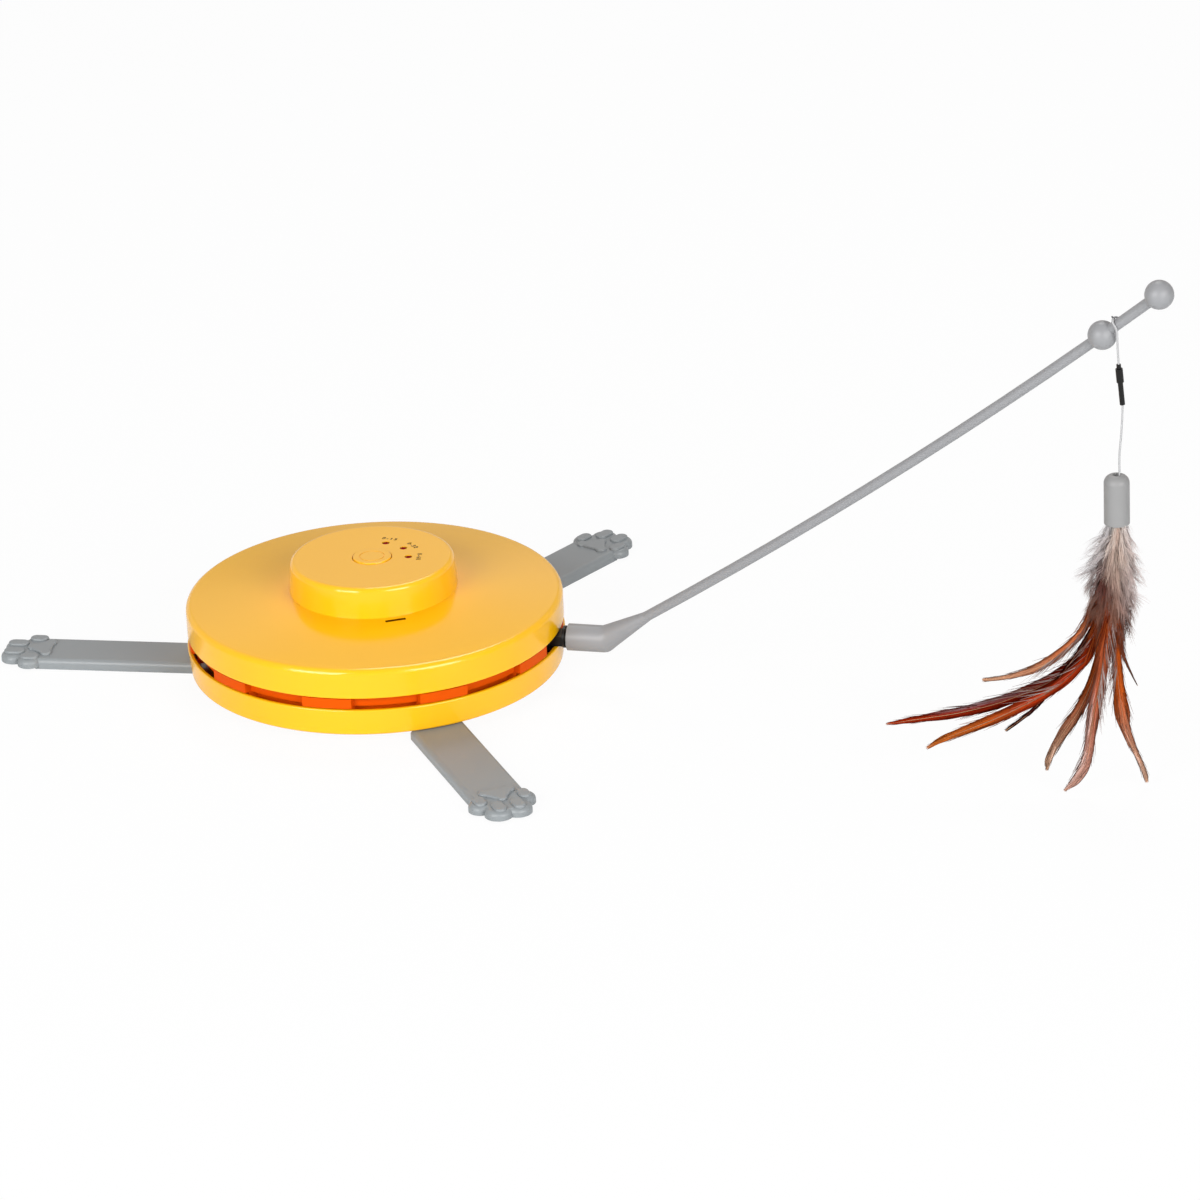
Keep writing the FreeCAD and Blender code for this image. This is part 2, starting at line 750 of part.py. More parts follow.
def coil_path(radius, pitch, turns):
    """Returns a coil along Z as pairs of tangent arcs, a pair for each quarter turn."""
    rise = pitch / (2 * math.pi)

    def spot(angle):
        return FreeCAD.Vector(radius * math.cos(angle), radius * math.sin(angle), rise * angle)

    def tangent(angle):
        return FreeCAD.Vector(-radius * math.sin(angle), radius * math.cos(angle), rise).normalize()

    edges = []
    for quarter in range(4 * turns):
        low, high = (math.pi / 2 * step for step in (quarter, quarter + 1))
        start, stop = spot(low), spot(high)
        into, out = tangent(low), tangent(high)
        chord = stop - start
        spread = 2 * (1 - into.dot(out))
        lean = chord.dot(into + out)
        reach = (math.sqrt(lean**2 + spread * chord.dot(chord)) - lean) / spread
        join = (start + stop + (into - out) * reach) * 0.5
        edges.append(arc_from(start, into, join))
        edges.append(arc_from(join, (stop - out * reach - join).normalize(), stop))
    return Part.Wire(edges)


def contact_springs():
    """Builds the coil springs that press on the flat ends of the cells."""
    wire = 0.35
    turns = 3
    reach = float(s.box_half) - 0.5
    flat_end = float(s.cell_length) - (float(s.box_half) - 0.55)
    height = reach - flat_end - 2 * wire - 0.06
    pitch = height / turns
    print(f"contact_springs: least gap between turns {pitch - 2 * wire:.2f} mm")
    spine = coil_path(4.0, pitch, turns)
    first = spine.Edges[0]
    ring = Part.Wire([Part.makeCircle(wire, first.valueAt(first.FirstParameter), FreeCAD.Vector(0, 1, 0))])
    turn = FreeCAD.Rotation(FreeCAD.Vector(1, 0, 0), 90)
    members = []
    for number, side in enumerate((1, -1, 1)):
        coil = spine.makePipeShell([ring], True, False)
        x = float(s.first_cell) + float(s.cell_pitch) * number
        spin = turn if side == 1 else turn.inverted()
        y = -(flat_end + wire + 0.03) * side
        coil.Placement = FreeCAD.Placement(FreeCAD.Vector(x, y, float(s.cell_height)), spin)
        members.append(coil)
    item = DOCUMENT.addObject("Part::Feature", "contact_springs")
    item.Shape = Part.makeCompound(members)
    return place(item, turns=(("z", s.battery_azimuth),))


# Fixed column and what turns on it


def centre_column():
    """Builds the flanged column on the lower housing's floor."""
    body = new_body("centre_column")
    flange_top = s.floor_top + 2.0
    revolve(body, [
        (s.bore_radius, s.floor_top),
        (s.column_flange, s.floor_top),
        (s.column_flange, flange_top),
        (s.column_radius, flange_top),
        (s.column_radius, s.column_top),
        (s.bore_radius, s.column_top),
    ])
    holes = sketch_on(body, height=flange_top)
    for x, y in column_screw_places():
        circle(holes, x, y, 1.15)
    cut(body, holes, 3.0)
    recess = sketch_on(body, height=flange_top)
    for x, y in column_screw_places():
        circle(recess, x, y, 2.2)
    cut(body, recess, 1.2)
    top = sketch_on(body, height=s.column_top)
    for x, y in plate_screw_places():
        circle(top, x, y, 0.9)
    cut(body, top, 5.5)
    return body


def plate_screw_places():
    """Returns the places of the screws between the gearbox base plate and the column."""
    ring = (s.bore_radius + s.column_radius) / 2
    return [around(ring, Size.of(120.0 * number)) for number in range(3)]


def column_screws():
    """Builds the three screws through the column's flange."""
    top = s.floor_top + 2.0
    members = []
    for number, (x, y) in enumerate(column_screw_places()):
        members.append(
            screw(f"column_screw_{number}", x, y, (2.1, top - 1.2, top - 0.1), (1.1, 13.0, top - 1.2))
        )
    return group("column_screws", members)


def thrust_washer():
    """Builds the washer that the turntable rests on."""
    body = new_body("thrust_washer")
    low = s.floor_top + 2.0
    high = s.web_bottom - 0.05
    revolve(body, [
        (s.column_radius + 0.2, low),
        (s.column_flange - 1.0, low),
        (s.column_flange - 1.0, high),
        (s.column_radius + 0.2, high),
    ])
    return body


def rotor_bush():
    """Builds the bush between turntable and column."""
    body = new_body("rotor_bush")
    inner = s.column_radius + s.running_gap
    outer = s.hub_bore - 0.02
    revolve(body, [
        (inner, s.web_bottom),
        (outer, s.web_bottom),
        (outer, s.web_bottom + 5.8),
        (inner, s.web_bottom + 5.8),
    ])
    return body


RING_GEAR_BORE = 17.3
GEAR_SCREW_RING = 20.0


def gear_screw_places():
    """Returns the places of the screws that hold the ring gear."""
    return [around(Size.of(GEAR_SCREW_RING), Size.of(60.0 + 120.0 * number)) for number in range(3)]


def turntable():
    """Builds the turntable: hub, web and castellated drum. Its X axis points at the wand."""
    body = new_body("turntable")
    web_top = s.web_bottom + s.web_thickness
    hub = RING_GEAR_BORE - 0.1
    inner = s.drum_radius - s.drum_wall
    revolve(body, [
        (s.hub_bore, s.web_bottom),
        (inner, s.web_bottom),
        (inner, s.drum_bottom),
        (s.drum_radius, s.drum_bottom),
        (s.drum_radius, s.drum_top),
        (inner, s.drum_top),
        (inner, web_top),
        (hub, web_top),
        (hub, web_top + 4.0),
        (s.hub_bore, web_top + 4.0),
    ])
    half = s.block_width / 2
    low = s.drum_bottom + 0.5
    block = sketch_on(body, height=low, turn=18.0)
    rectangle(block, s.drum_radius - 1.0, -half, s.block_radius + 2.0, half)
    one = pad(body, block, s.drum_top - 0.5 - low)
    repeat(body, one, block, s.block_count)
    revolve(body, [
        (s.block_radius, s.drum_bottom - 1.0),
        (s.block_radius + 6.0, s.drum_bottom - 1.0),
        (s.block_radius + 6.0, s.drum_top + 1.0),
        (s.block_radius, s.drum_top + 1.0),
    ], cutting=True)
    rim_low, rim_high = s.lip_top + 0.5, s.slot_top - 0.5
    revolve(body, [
        (s.drum_radius - 1.0, rim_low),
        (s.rim_radius, rim_low),
        (s.rim_radius, rim_high),
        (s.drum_radius - 1.0, rim_high),
    ])
    tooth = sketch_on(body, height=rim_low, turn=18.0)
    rectangle(tooth, s.rim_radius - 1.0, -half, s.rim_block_radius + 2.0, half)
    one = pad(body, tooth, rim_high - rim_low)
    repeat(body, one, tooth, s.block_count)
    revolve(body, [
        (s.rim_block_radius, rim_low - 1.0),
        (s.rim_block_radius + 6.0, rim_low - 1.0),
        (s.rim_block_radius + 6.0, rim_high + 1.0),
        (s.rim_block_radius, rim_high + 1.0),
    ], cutting=True)
    notch = sketch_on(body, height=rim_high + 0.3)
    rectangle(notch, s.drum_radius, -7.5, s.rim_block_radius + 3.0, 7.5)
    cut(body, notch, rim_high - rim_low + 0.6)
    bosses = sketch_on(body, height=s.web_bottom - 1.9)
    for x, y in gear_screw_places():
        circle(bosses, x, y, 2.4)
    pad(body, bosses, 2.2)
    holes = sketch_on(body, height=web_top)
    for x, y in gear_screw_places():
        circle(holes, x, y, 1.0)
    cut(body, holes, 3.2)
    arm = sketch_on(body, "YZ_Plane", height=s.drum_radius + 6.0)
    for side in (-1, 1):
        circle(arm, side * 4.0, s.arm_height + 3.0, 1.15)
    cut(body, arm, 12.0)
    place(body, turns=(("z", s.arm_azimuth),))
    return body


def ring_gear():
    """Builds the gear on the turntable's hub."""
    body = new_body("ring_gear")
    low = s.web_bottom + s.web_thickness
    toothed_disc(body, s.ring_teeth, s.module_ring, low, low + 4.0, s.gear_two_azimuth - s.arm_azimuth)
    bore = sketch_on(body, height=low)
    circle(bore, 0, 0, RING_GEAR_BORE)
    cut(body, bore, 5.0, upward=True)
    holes = sketch_on(body, height=low)
    for x, y in gear_screw_places():
        circle(holes, x, y, 1.05)
    cut(body, holes, 5.0, upward=True)
    recess = sketch_on(body, height=low + 4.0)
    for x, y in gear_screw_places():
        circle(recess, x, y, 2.0)
    cut(body, recess, 1.3)
    place(body, turns=(("z", s.arm_azimuth),))
    return body


def gear_screws():
    """Builds the screws that hold the ring gear."""
    top = s.web_bottom + s.web_thickness + 4.0
    members = []
    for number, (x, y) in enumerate(gear_screw_places()):
        members.append(
            screw(f"gear_screw_{number}", x, y, (1.8, top - 1.3, top - 0.1), (0.95, 20.4, top - 1.3))
        )
    return place(group("gear_screws", members), turns=(("z", s.arm_azimuth),))


# Arm and swivel. These parts are drawn with the arm along X.


def wand_arm():
    """Builds the black arm with the swivel pin."""
    low, high = s.lip_top + 0.5, s.slot_top - 0.5
    face = s.drum_radius + 0.05
    block = box("arm_block", face, -7.0, s.arm_height - 6.0, face + 5.0, 7.0, s.arm_height + 5.5)
    bar = box("arm_bar", face + 1.0, -5.5, low, 97.6, 5.5, high)
    z = s.arm_height
    flange = lying_cylinder("arm_flange", 5.6, 97.4, s.sleeve_start - 1.2, 0, z)
    pin = lying_cylinder("arm_pin", s.pin_radius, 98.0, s.sleeve_start + 15.05, 0, z)
    solid = fuse("arm_solid", [block, bar, flange, pin])
    holes = []
    for word, side in (("left", 4.0), ("right", -4.0)):
        holes.append(lying_cylinder(f"arm_hole_{word}", 1.15, face - 1.0, face + 4.2, side, z + 3.0))
    holes.append(lying_cylinder("arm_end_hole", 1.05, s.sleeve_start + 6.0, s.sleeve_start + 16.0, 0, z))
    tools = fuse("arm_holes", holes)
    return place(subtract("wand_arm", solid, tools), turns=(("z", s.arm_azimuth),))


def arm_screws():
    """Builds the two screws from inside the drum into the arm."""
    inner = s.drum_radius - s.drum_wall
    z = s.arm_height + 3.0
    members = []
    for word, side in (("left", 4.0), ("right", -4.0)):
        head = lying_cylinder(f"arm_screw_head_{word}", 2.1, inner - 1.85, inner - 0.4, side, z)
        shank = lying_cylinder(f"arm_screw_shank_{word}", 1.1, inner - 0.4, s.drum_radius + 4.0, side, z)
        members.append(fuse(f"arm_screw_{word}", [head, shank]))
    return place(group("arm_screws", members), turns=(("z", s.arm_azimuth),))


def swivel_bush():
    """Builds the bush that turns on the pin, with its collar and the groove for the seal."""
    start = s.sleeve_start
    z = s.arm_height
    barrel = lying_cylinder("bush_barrel", 4.0, start - 1.0, start + 14.95, 0, z)
    collar = lying_cylinder("bush_collar", 5.0, start - 1.0, start - 0.1, 0, z)
    solid = fuse("bush_solid", [barrel, collar])
    bore = lying_cylinder("bush_bore", s.pin_radius + 0.06, start - 2.0, start + 16.0, 0, z)
    outside = lying_cylinder("bush_groove_outside", 4.6, start + 6.8, start + 8.2, 0, z)
    core = lying_cylinder("bush_groove_core", 3.45, start + 6.0, start + 9.0, 0, z)
    groove = subtract("bush_groove", outside, core)
    return place(subtract("swivel_bush", solid, fuse("bush_tools", [bore, groove])),
                 turns=(("z", s.arm_azimuth),))


def o_ring():
    """Builds the seal that holds the wand on the bush."""
    item = DOCUMENT.addObject("Part::Torus", "o_ring")
    bind(item, "Radius1", s.sleeve_bore - 0.5)
    bind(item, "Radius2", 0.47)
    x, y = around(s.sleeve_start + 7.5, s.arm_azimuth)
    return place(item, x, y, s.arm_height, (("z", s.arm_azimuth), ("y", 90)))


def swivel_screw():
    """Builds the screw with the wide head at the end of the pin."""
    start = s.sleeve_start
    head = lying_cylinder("swivel_screw_head", 3.2, start + 15.05, start + 16.25, 0, s.arm_height)
    shank = lying_cylinder("swivel_screw_shank", 1.0, start + 7.0, start + 15.05, 0, s.arm_height)
    return place(fuse("swivel_screw", [head, shank]), turns=(("z", s.arm_azimuth),))


# Wand


def rod_angle(distance):
    """Returns the rise of the rod in degrees at a distance along it from the bend."""
    return s.bend_angle + distance / s.rod_curve * math.degrees(1)


def rod_point(distance):
    """Returns x and z of a point on the rod's axis, measured from the swivel axis."""
    start = s.bend_distance - s.rod_curve * sine(s.bend_angle)
    x = start + s.rod_curve * sine(rod_angle(distance))
    z = s.rod_curve * cosine(s.bend_angle) - s.rod_curve * cosine(rod_angle(distance))
    return x, z


def wand():
    """Builds the wand: sleeve, bend, taper, curved rod and two balls."""
    sleeve = lying_cylinder("wand_sleeve", s.sleeve_radius, s.sleeve_start, s.bend_distance, 0, 0)
    bend = ball("wand_bend", s.sleeve_radius, s.bend_distance)
    taper = DOCUMENT.addObject("Part::Cone", "wand_taper")
    bind(taper, "Radius1", s.sleeve_radius)
    bind(taper, "Radius2", s.rod_radius)
    bind(taper, "Height", s.taper_length)
    place(taper, s.bend_distance, turns=(("y", 90 - s.bend_angle),))
    rod = DOCUMENT.addObject("Part::Torus", "wand_rod")
    bind(rod, "Radius1", s.rod_curve)
    bind(rod, "Radius2", s.rod_radius)
    bind(rod, "Angle3", s.rod_length / s.rod_curve * math.degrees(1))
    centre_x = s.bend_distance - s.rod_curve * sine(s.bend_angle)
    centre_z = s.rod_curve * cosine(s.bend_angle)
    place(rod, centre_x, 0, centre_z, (("y", 90 - s.bend_angle), ("x", 90)))
    balls = []
    for word, distance in (("lower", s.lower_ball), ("end", s.rod_length)):
        x, z = rod_point(distance)
        balls.append(ball(f"wand_ball_{word}", s.ball_radius, x, 0, z))
    solid = fuse("wand_solid", [sleeve, bend, taper, rod] + balls)
    bore = lying_cylinder("wand_bore", s.sleeve_bore, s.sleeve_start - 1.0, s.bend_distance - 1.2, 0, 0)
    item = subtract("wand", solid, bore)
    return place(item, z=s.arm_height, turns=(("z", s.arm_azimuth), ("x", s.lean)))


def knot_point():
    """Returns the point on the rod's axis that the string is tied round."""
    x, z = rod_point(s.lower_ball + s.knot_offset)
    point = FreeCAD.Vector(float(x), 0, float(z))
    lean = FreeCAD.Rotation(FreeCAD.Vector(1, 0, 0), float(s.lean))
    turn = FreeCAD.Rotation(FreeCAD.Vector(0, 0, 1), float(s.arm_azimuth))
    return turn.multVec(lean.multVec(point)) + FreeCAD.Vector(0, 0, float(s.arm_height))


def rod_direction():
    """Returns the direction of the rod at the knot."""
    rise = math.radians(float(rod_angle(s.lower_ball + s.knot_offset)))
    lean = FreeCAD.Rotation(FreeCAD.Vector(1, 0, 0), float(s.lean))
    turn = FreeCAD.Rotation(FreeCAD.Vector(0, 0, 1), float(s.arm_azimuth))
    return turn.multVec(lean.multVec(FreeCAD.Vector(math.cos(rise), 0, math.sin(rise))))


# Lure. These parts are drawn from the knot, and hang straight down from it.


UPPER_STRING = (
    (1.6, -4.6), (-3.3, -4.6), (-3.3, 4.3), (3.3, 4.3), (3.3, -3.5), (2.0, -9.0), (0.6, -14.5), (0.0, -19.7),
)
LOWER_STRING = ((2.35, -40.2), (2.2, -47.0), (1.5, -57.0), (0.6, -66.0), (0.7, -74.9), (0.55, -78.97))
CLASP_TOP = (0.6, -19.8)
CLASP_END = (2.3, -40.1)
CAP_SHIFT = -0.7


def upper_string():
    """Builds the string tied round the rod, as far as the clasp."""
    along = rod_direction()
    across = FreeCAD.Vector(along.y, -along.x, 0).normalize()
    points = []
    for offset, height in UPPER_STRING:
        points.append(across * offset + FreeCAD.Vector(0, 0, height))
    points[-1] = FreeCAD.Vector(CLASP_TOP[0], 0, CLASP_TOP[1] + 0.05)
    solid, length = tube_shape(points, s.string_radius)
    report_length("upper_string", length)
    return shape_part("upper_string", solid, knot_point())


def string_clasp():
    """Builds the small clasp between the two strings."""
    tilt = math.degrees(math.atan2(CLASP_END[0] - CLASP_TOP[0], CLASP_TOP[1] - CLASP_END[1]))
    length = math.hypot(CLASP_END[0] - CLASP_TOP[0], CLASP_TOP[1] - CLASP_END[1])
    base = knot_point()
    foot = (base.x + CLASP_END[0], base.y, base.z + CLASP_END[1])
    stem = cylinder("clasp_stem", 1.25, length - 5.0)
    barrel = cylinder("clasp_barrel", 1.75, 6.8, z=length - 9.0)
    neck = cylinder("clasp_neck", 1.1, 3.0, z=length - 3.0)
    return place(fuse("string_clasp", [stem, barrel, neck]), *foot, turns=(("y", -tilt),))


def lower_string():
    """Builds the string from the clasp into the cap, with the knot inside the cap."""
    points = [FreeCAD.Vector(x, 0, z) for x, z in LOWER_STRING]
    solid, length = tube_shape(points, s.string_radius)
    knot = Part.makeSphere(2.4, FreeCAD.Vector(CAP_SHIFT + 0.6, 0, -float(s.cap_top) - 3.4 - 2.45))
    report_length("lower_string", length)
    return shape_part("lower_string", Part.makeCompound([solid, knot]), knot_point())


def feather_cap():
    """Builds the domed cap that holds the feathers."""
    body = new_body("feather_cap")
    bottom = s.cap_top + s.cap_length
    revolve(body, [
        (2.0, -s.cap_top - 3.4),
        (s.cap_radius - 1.05, -s.cap_top - 3.4),
        (s.cap_radius - 1.05, -bottom),
        (s.cap_radius, -bottom),
        (s.cap_radius, -s.cap_top),
        (2.0, -s.cap_top),
    ])
    round_edges(body, 4.1, ring_edge((s.cap_radius, -s.cap_top)))
    round_edges(body, 0.45, ring_edge((s.cap_radius, -bottom)))
    base = knot_point()
    return place(body, base.x + CAP_SHIFT, base.y, base.z)


# Each hackle feather: width, root in the cap (x, towards the viewer), then points of its quill as
# x, distance towards the viewer, and depth below the knot.
HACKLES = (
    (4.4, (-2.1, -2.6), ((-9, -3.2, 135), (-16.4, -3.4, 155.4), (-23.2, -3.9, 164.0), (-32.2, -4.4, 171.8),
                         (-43.2, -5.0, 177.7), (-55.1, -5.5, 180.6), (-65.4, -6.0, 181.4))),
    (1.8, (0.9, -1.9), ((-1.5, -2.6, 135), (0.1, -3.0, 157.7), (1.8, -3.3, 168.8), (4.6, -3.7, 177.2),
                        (9.0, -4.0, 187.1))),
    (6.4, (-2.3, -1.1), ((-8, -1.5, 138), (-13.4, -1.6, 163.5), (-19.0, -1.7, 171.4), (-26.5, -1.7, 177.6),
                         (-35.5, -1.8, 183.2), (-45.6, -1.8, 187.7), (-59.6, -1.9, 192.5), (-76.6, -1.9, 196.3),
                         (-93.6, -1.9, 198.4), (-112.2, -2.0, 200.6))),
    (2.0, (0.7, -0.4), ((-6, 0, 138), (-15.0, 0.2, 157.7), (-21.1, 0.3, 168.2), (-27.2, 0.5, 176.6),
                        (-32.7, 0.6, 184.5), (-40.9, 0.7, 194.6), (-47.9, 0.9, 200.3), (-55.2, 1.0, 205.6))),
    (5.6, (-2.0, 0.4), ((-7.5, 1.6, 138), (-14.2, 2.2, 165.5), (-20.8, 2.4, 173.9), (-27.9, 2.6, 181.1),
                        (-35.9, 2.8, 186.1), (-46.0, 3.0, 191.5), (-56.0, 3.2, 196.2), (-68.1, 3.4, 201.0),
                        (-80.1, 3.6, 205.3), (-87.7, 3.8, 208.4), (-93.3, 4.0, 211.7))),
    (5.4, (0.6, 1.2), ((-6, 2.9, 135), (-8.7, 3.6, 158.7), (-11.0, 3.9, 171.5), (-15.1, 4.1, 184.2),
                       (-20.2, 4.4, 195.4), (-27.3, 4.7, 205.9), (-32.4, 5.0, 214.3), (-35.0, 5.2, 220.1),
                       (-35.7, 5.5, 225.4))),
    (6.6, (-1.6, 2.0), ((-2, 4.6, 135), (-1.9, 5.5, 156.0), (-1.8, 5.8, 168.9), (-0.9, 6.1, 182.9),
                        (0.3, 6.4, 193.8), (2.0, 6.8, 204.7), (4.8, 7.1, 212.4), (8.3, 7.4, 220.1),
                        (11.0, 7.7, 227.8), (12.2, 8.0, 232.9))),
    (6.4, (0.2, 2.8), ((-4.5, 7, 135), (-7.6, 8.5, 157.6), (-9.3, 9.4, 171.3), (-11.2, 10.2, 182.8),
                       (-13.3, 11.1, 193.2), (-15.0, 12.0, 203.6), (-16.1, 12.9, 212.0), (-18.3, 13.8, 220.2),
                       (-22.4, 14.6, 226.8), (-28.3, 15.5, 231.8))),
)
HACKLE_STATIONS = 17


def hackle(width, root, quill):
    """Builds one long feather as a thin blade along its quill."""
    points = [FreeCAD.Vector(CAP_SHIFT + root[0] * 0.85, -root[1], -float(s.cap_top) - 9.5)]
    points.append(FreeCAD.Vector(CAP_SHIFT + root[0], -root[1], -float(s.cap_top) - 25.5))
    points += [FreeCAD.Vector(x, -near, -depth) for x, near, depth in quill]
    curve = Part.BSplineCurve()
    curve.interpolate(points)
    sections = []
    length = curve.length()
    for step in range(HACKLE_STATIONS):
        along = length * step / (HACKLE_STATIONS - 1)
        spot = curve.parameterAtDistance(along, curve.FirstParameter)
        centre = curve.value(spot)
        tangent = curve.tangent(spot)[0]
        side = tangent.cross(FreeCAD.Vector(0, 1, 0)).normalize()
        face = side.cross(tangent).normalize()
        share = step / (HACKLE_STATIONS - 1)
        swell = min(1.0, max(0.0, (share - 0.3) / 0.3)) * min(1.0, (1.06 - share) / 0.3)
        half = 0.45 + max(0.0, width / 2 - 0.45) * math.sin(swell * math.pi / 2)
        thick = 0.28
        corners = [centre + side * half, centre + face * thick, centre - side * half, centre - face * thick]
        sections.append(Part.makePolygon(corners + corners[:1]))
    return Part.makeLoft(sections, True, True), length


def hackle_shapes():
    """Returns the long feathers as separate solids."""
    shapes = []
    for number, (width, root, quill) in enumerate(HACKLES):
        shape, length = hackle(width, root, quill)
        report_length(f"hackle {number}", length)
        shapes.append(shape)
    return Part.makeCompound(shapes)


# The fluff under the cap: depth below the knot, shift to the side and radius.
FLUFF = (
    (97.0, -0.7, 4.6), (101.5, -0.7, 4.8), (105.5, -1.0, 6.2), (111.0, -1.4, 8.9), (117.0, -2.8, 10.9),
    (129.0, -3.4, 12.6), (136.0, -3.0, 12.2), (147.0, -4.2, 10.2), (154.0, -5.8, 7.2), (160.0, -6.2, 4.4),
)


def fluff_shape():
    """Returns the body of the short soft feathers."""
    rings = []
    for depth, shift, radius in FLUFF:
        rings.append(Part.Wire([Part.makeCircle(radius, FreeCAD.Vector(shift, 0, -depth))]))
    return Part.makeLoft(rings, True, False)


def feathers():
    """Builds the long feathers and the fluff round them."""
    long_ones = hackle_shapes()
    fluff = fluff_shape().cut(long_ones)
    solids = sorted(fluff.Solids, key=lambda solid: solid.Volume)
    soft = solids[-1] if len(solids) == 1 else Part.makeCompound([item for item in solids if item.Volume > 1])
    base = knot_point()
    return [shape_part("hackle_feathers", long_ones, base), shape_part("fluff_feathers", soft, base)]


# Gear train and gearbox


def gear_axes():
    """Returns the axes of the second gear, the first gear and the motor."""
    reach = s.module_ring * (s.ring_teeth + s.pinion_two_teeth) / 2
    two = around(reach, s.gear_two_azimuth)
    step = around(s.module_middle * (s.wheel_teeth + s.pinion_one_teeth) / 2, s.gear_one_azimuth)
    one = (two[0] + step[0], two[1] + step[1])
    step = around(s.module_motor * (s.wheel_teeth + s.pinion_one_teeth) / 2, s.motor_azimuth)
    return two, one, (one[0] + step[0], one[1] + step[1])


PILLARS = ((-14.5, 2.0), (-20.0, -25.5), (-33.5, 18.5))
POST_AZIMUTHS = (20.0, 120.0, 260.0)
NECK_RADIUS = 5.6


def plate_top():
    """Returns the height of the gearbox base plate's top."""
    return s.column_top + s.plate_thickness


def post_places():
    """Returns the places of the upper housing's posts."""
    return [around(s.post_ring, Size.of(azimuth)) for azimuth in POST_AZIMUTHS]


def gearbox_base():
    """Builds the gearbox base plate with its pillars."""
    body = new_body("gearbox_base")
    two, one, motor = gear_axes()
    low = s.column_top
    disc = sketch_on(body, height=low)
    circle(disc, 0, 0, s.plate_radius)
    pad(body, disc, s.plate_thickness)
    pillars = sketch_on(body, height=low + 0.5)
    for x, y in PILLARS:
        circle(pillars, x, y, 2.5)
    pad(body, pillars, s.gearbox_top - low - 0.5)
    holes = sketch_on(body, height=low)
    circle(holes, 0, 0, s.bore_radius)
    circle(holes, two[0], two[1], NECK_RADIUS + 0.08)
    circle(holes, one[0], one[1], s.gear_pin_radius + 0.02)
    for x, y in plate_screw_places():
        circle(holes, x, y, 1.0)
    for x, y in post_places():
        circle(holes, x, y, 1.3)
    cut(body, holes, 3.0, upward=True)
    tops = sketch_on(body, height=s.gearbox_top)
    for x, y in PILLARS:
        circle(tops, x, y, 0.9)
    cut(body, tops, 7.0)
    return body


def plate_screws():
    """Builds the screws between the gearbox base plate and the column."""
    top = plate_top()
    members = []
    for number, (x, y) in enumerate(plate_screw_places()):
        members.append(screw(f"plate_screw_{number}", x, y, (1.5, top, top + 1.2), (0.85, top - 6.5, top)))
    return group("plate_screws", members)


def gearbox_top():
    """Builds the plate that closes the gearbox and carries the motor."""
    body = new_body("gearbox_top")
    two, one, motor = gear_axes()
    outline = sketch_on(body, height=s.gearbox_top)
    polygon(outline, [
        (-10.0, -2.0), (-15.5, -29.5), (-24.5, -29.5), (-38.5, 14.0), (-37.5, 22.5), (-15.5, 24.5), (-10.0, 8.0),
    ])
    pad(body, outline, s.plate_thickness)
    holes = sketch_on(body, height=s.gearbox_top)
    for x, y in (two, one):
        circle(holes, x, y, s.gear_pin_radius + 0.02)
    circle(holes, motor[0], motor[1], 1.2)
    for side in (-4.5, 4.5):
        circle(holes, motor[0] + side, motor[1], 0.9)
    for x, y in PILLARS:
        circle(holes, x, y, 0.9)
    cut(body, holes, 3.0, upward=True)
    recess = sketch_on(body, height=s.gearbox_top + s.plate_thickness)
    for x, y in PILLARS:
        circle(recess, x, y, 1.8)
    cut(body, recess, 1.1)
    return body


def pillar_screws():
    """Builds the screws through the gearbox top plate into the pillars."""
    top = s.gearbox_top + s.plate_thickness
    members = []
    for number, (x, y) in enumerate(PILLARS):
        members.append(
            screw(f"pillar_screw_{number}", x, y, (1.7, top - 1.1, top - 0.1), (0.85, top - 8.0, top - 1.1))
        )
    return group("pillar_screws", members)


def stepped_gear(name, axis, stages, hubs):
    """Builds a stepped gear on a pin. Stages are teeth, module, low, high and phase."""
    body = new_body(name)
    for number, (radius, low, high) in enumerate(hubs):
        disc = sketch_on(body, height=low)
        circle(disc, 0, 0, radius)
        pad(body, disc, Size.of(high) - low)
    for teeth, module, low, high, phase in stages:
        toothed_disc(body, teeth, module, low, high, phase)
    bore = sketch_on(body, height=hubs[0][1] - 10.0)
    circle(bore, 0, 0, s.gear_pin_radius + s.running_gap)
    cut(body, bore, 60.0, upward=True)
    return place(body, axis[0], axis[1])


def gears():
    """Builds the two stepped gears."""
    two, one, motor = gear_axes()
    base = plate_top()
    low = s.web_bottom + s.web_thickness + 0.3
    hub_top = s.gearbox_top - 0.3
    second = stepped_gear(
        "gear_two",
        two,
        [
            (s.pinion_two_teeth, s.module_ring, low, s.column_top - 0.2, s.gear_two_azimuth + 180 + 180 / 12),
            (s.wheel_teeth, s.module_middle, base + 1.2, base + 4.2, s.gear_one_azimuth),
        ],
        [
            (Size.of(NECK_RADIUS), s.column_top - 0.3, base + 0.2),
            (Size.of(6.6), base + 0.05, base + 1.3),
            (Size.of(2.2), s.column_top - 1.0, hub_top),
        ],
    )
    first = stepped_gear(
        "gear_one",
        one,
        [
            (s.pinion_one_teeth, s.module_middle, base + 1.0, base + 4.5, s.gear_one_azimuth + 180 + 180 / 10),
            (s.wheel_teeth, s.module_motor, base + 5.0, base + 7.6, s.motor_azimuth),
        ],
        [
            (Size.of(1.9), base + 0.05, hub_top),
        ],
    )
    return [second, first]


def gear_pins():
    """Builds the two pins that the stepped gears turn on."""
    two, one, motor = gear_axes()
    top = s.gearbox_top + s.plate_thickness - 0.1
    low = s.column_top + 0.1
    members = [
        cylinder("gear_pin_two", s.gear_pin_radius, top - 24.4, two[0], two[1], 24.4),
        cylinder("gear_pin_one", s.gear_pin_radius, top - low, one[0], one[1], low),
    ]
    return group("gear_pins", members)


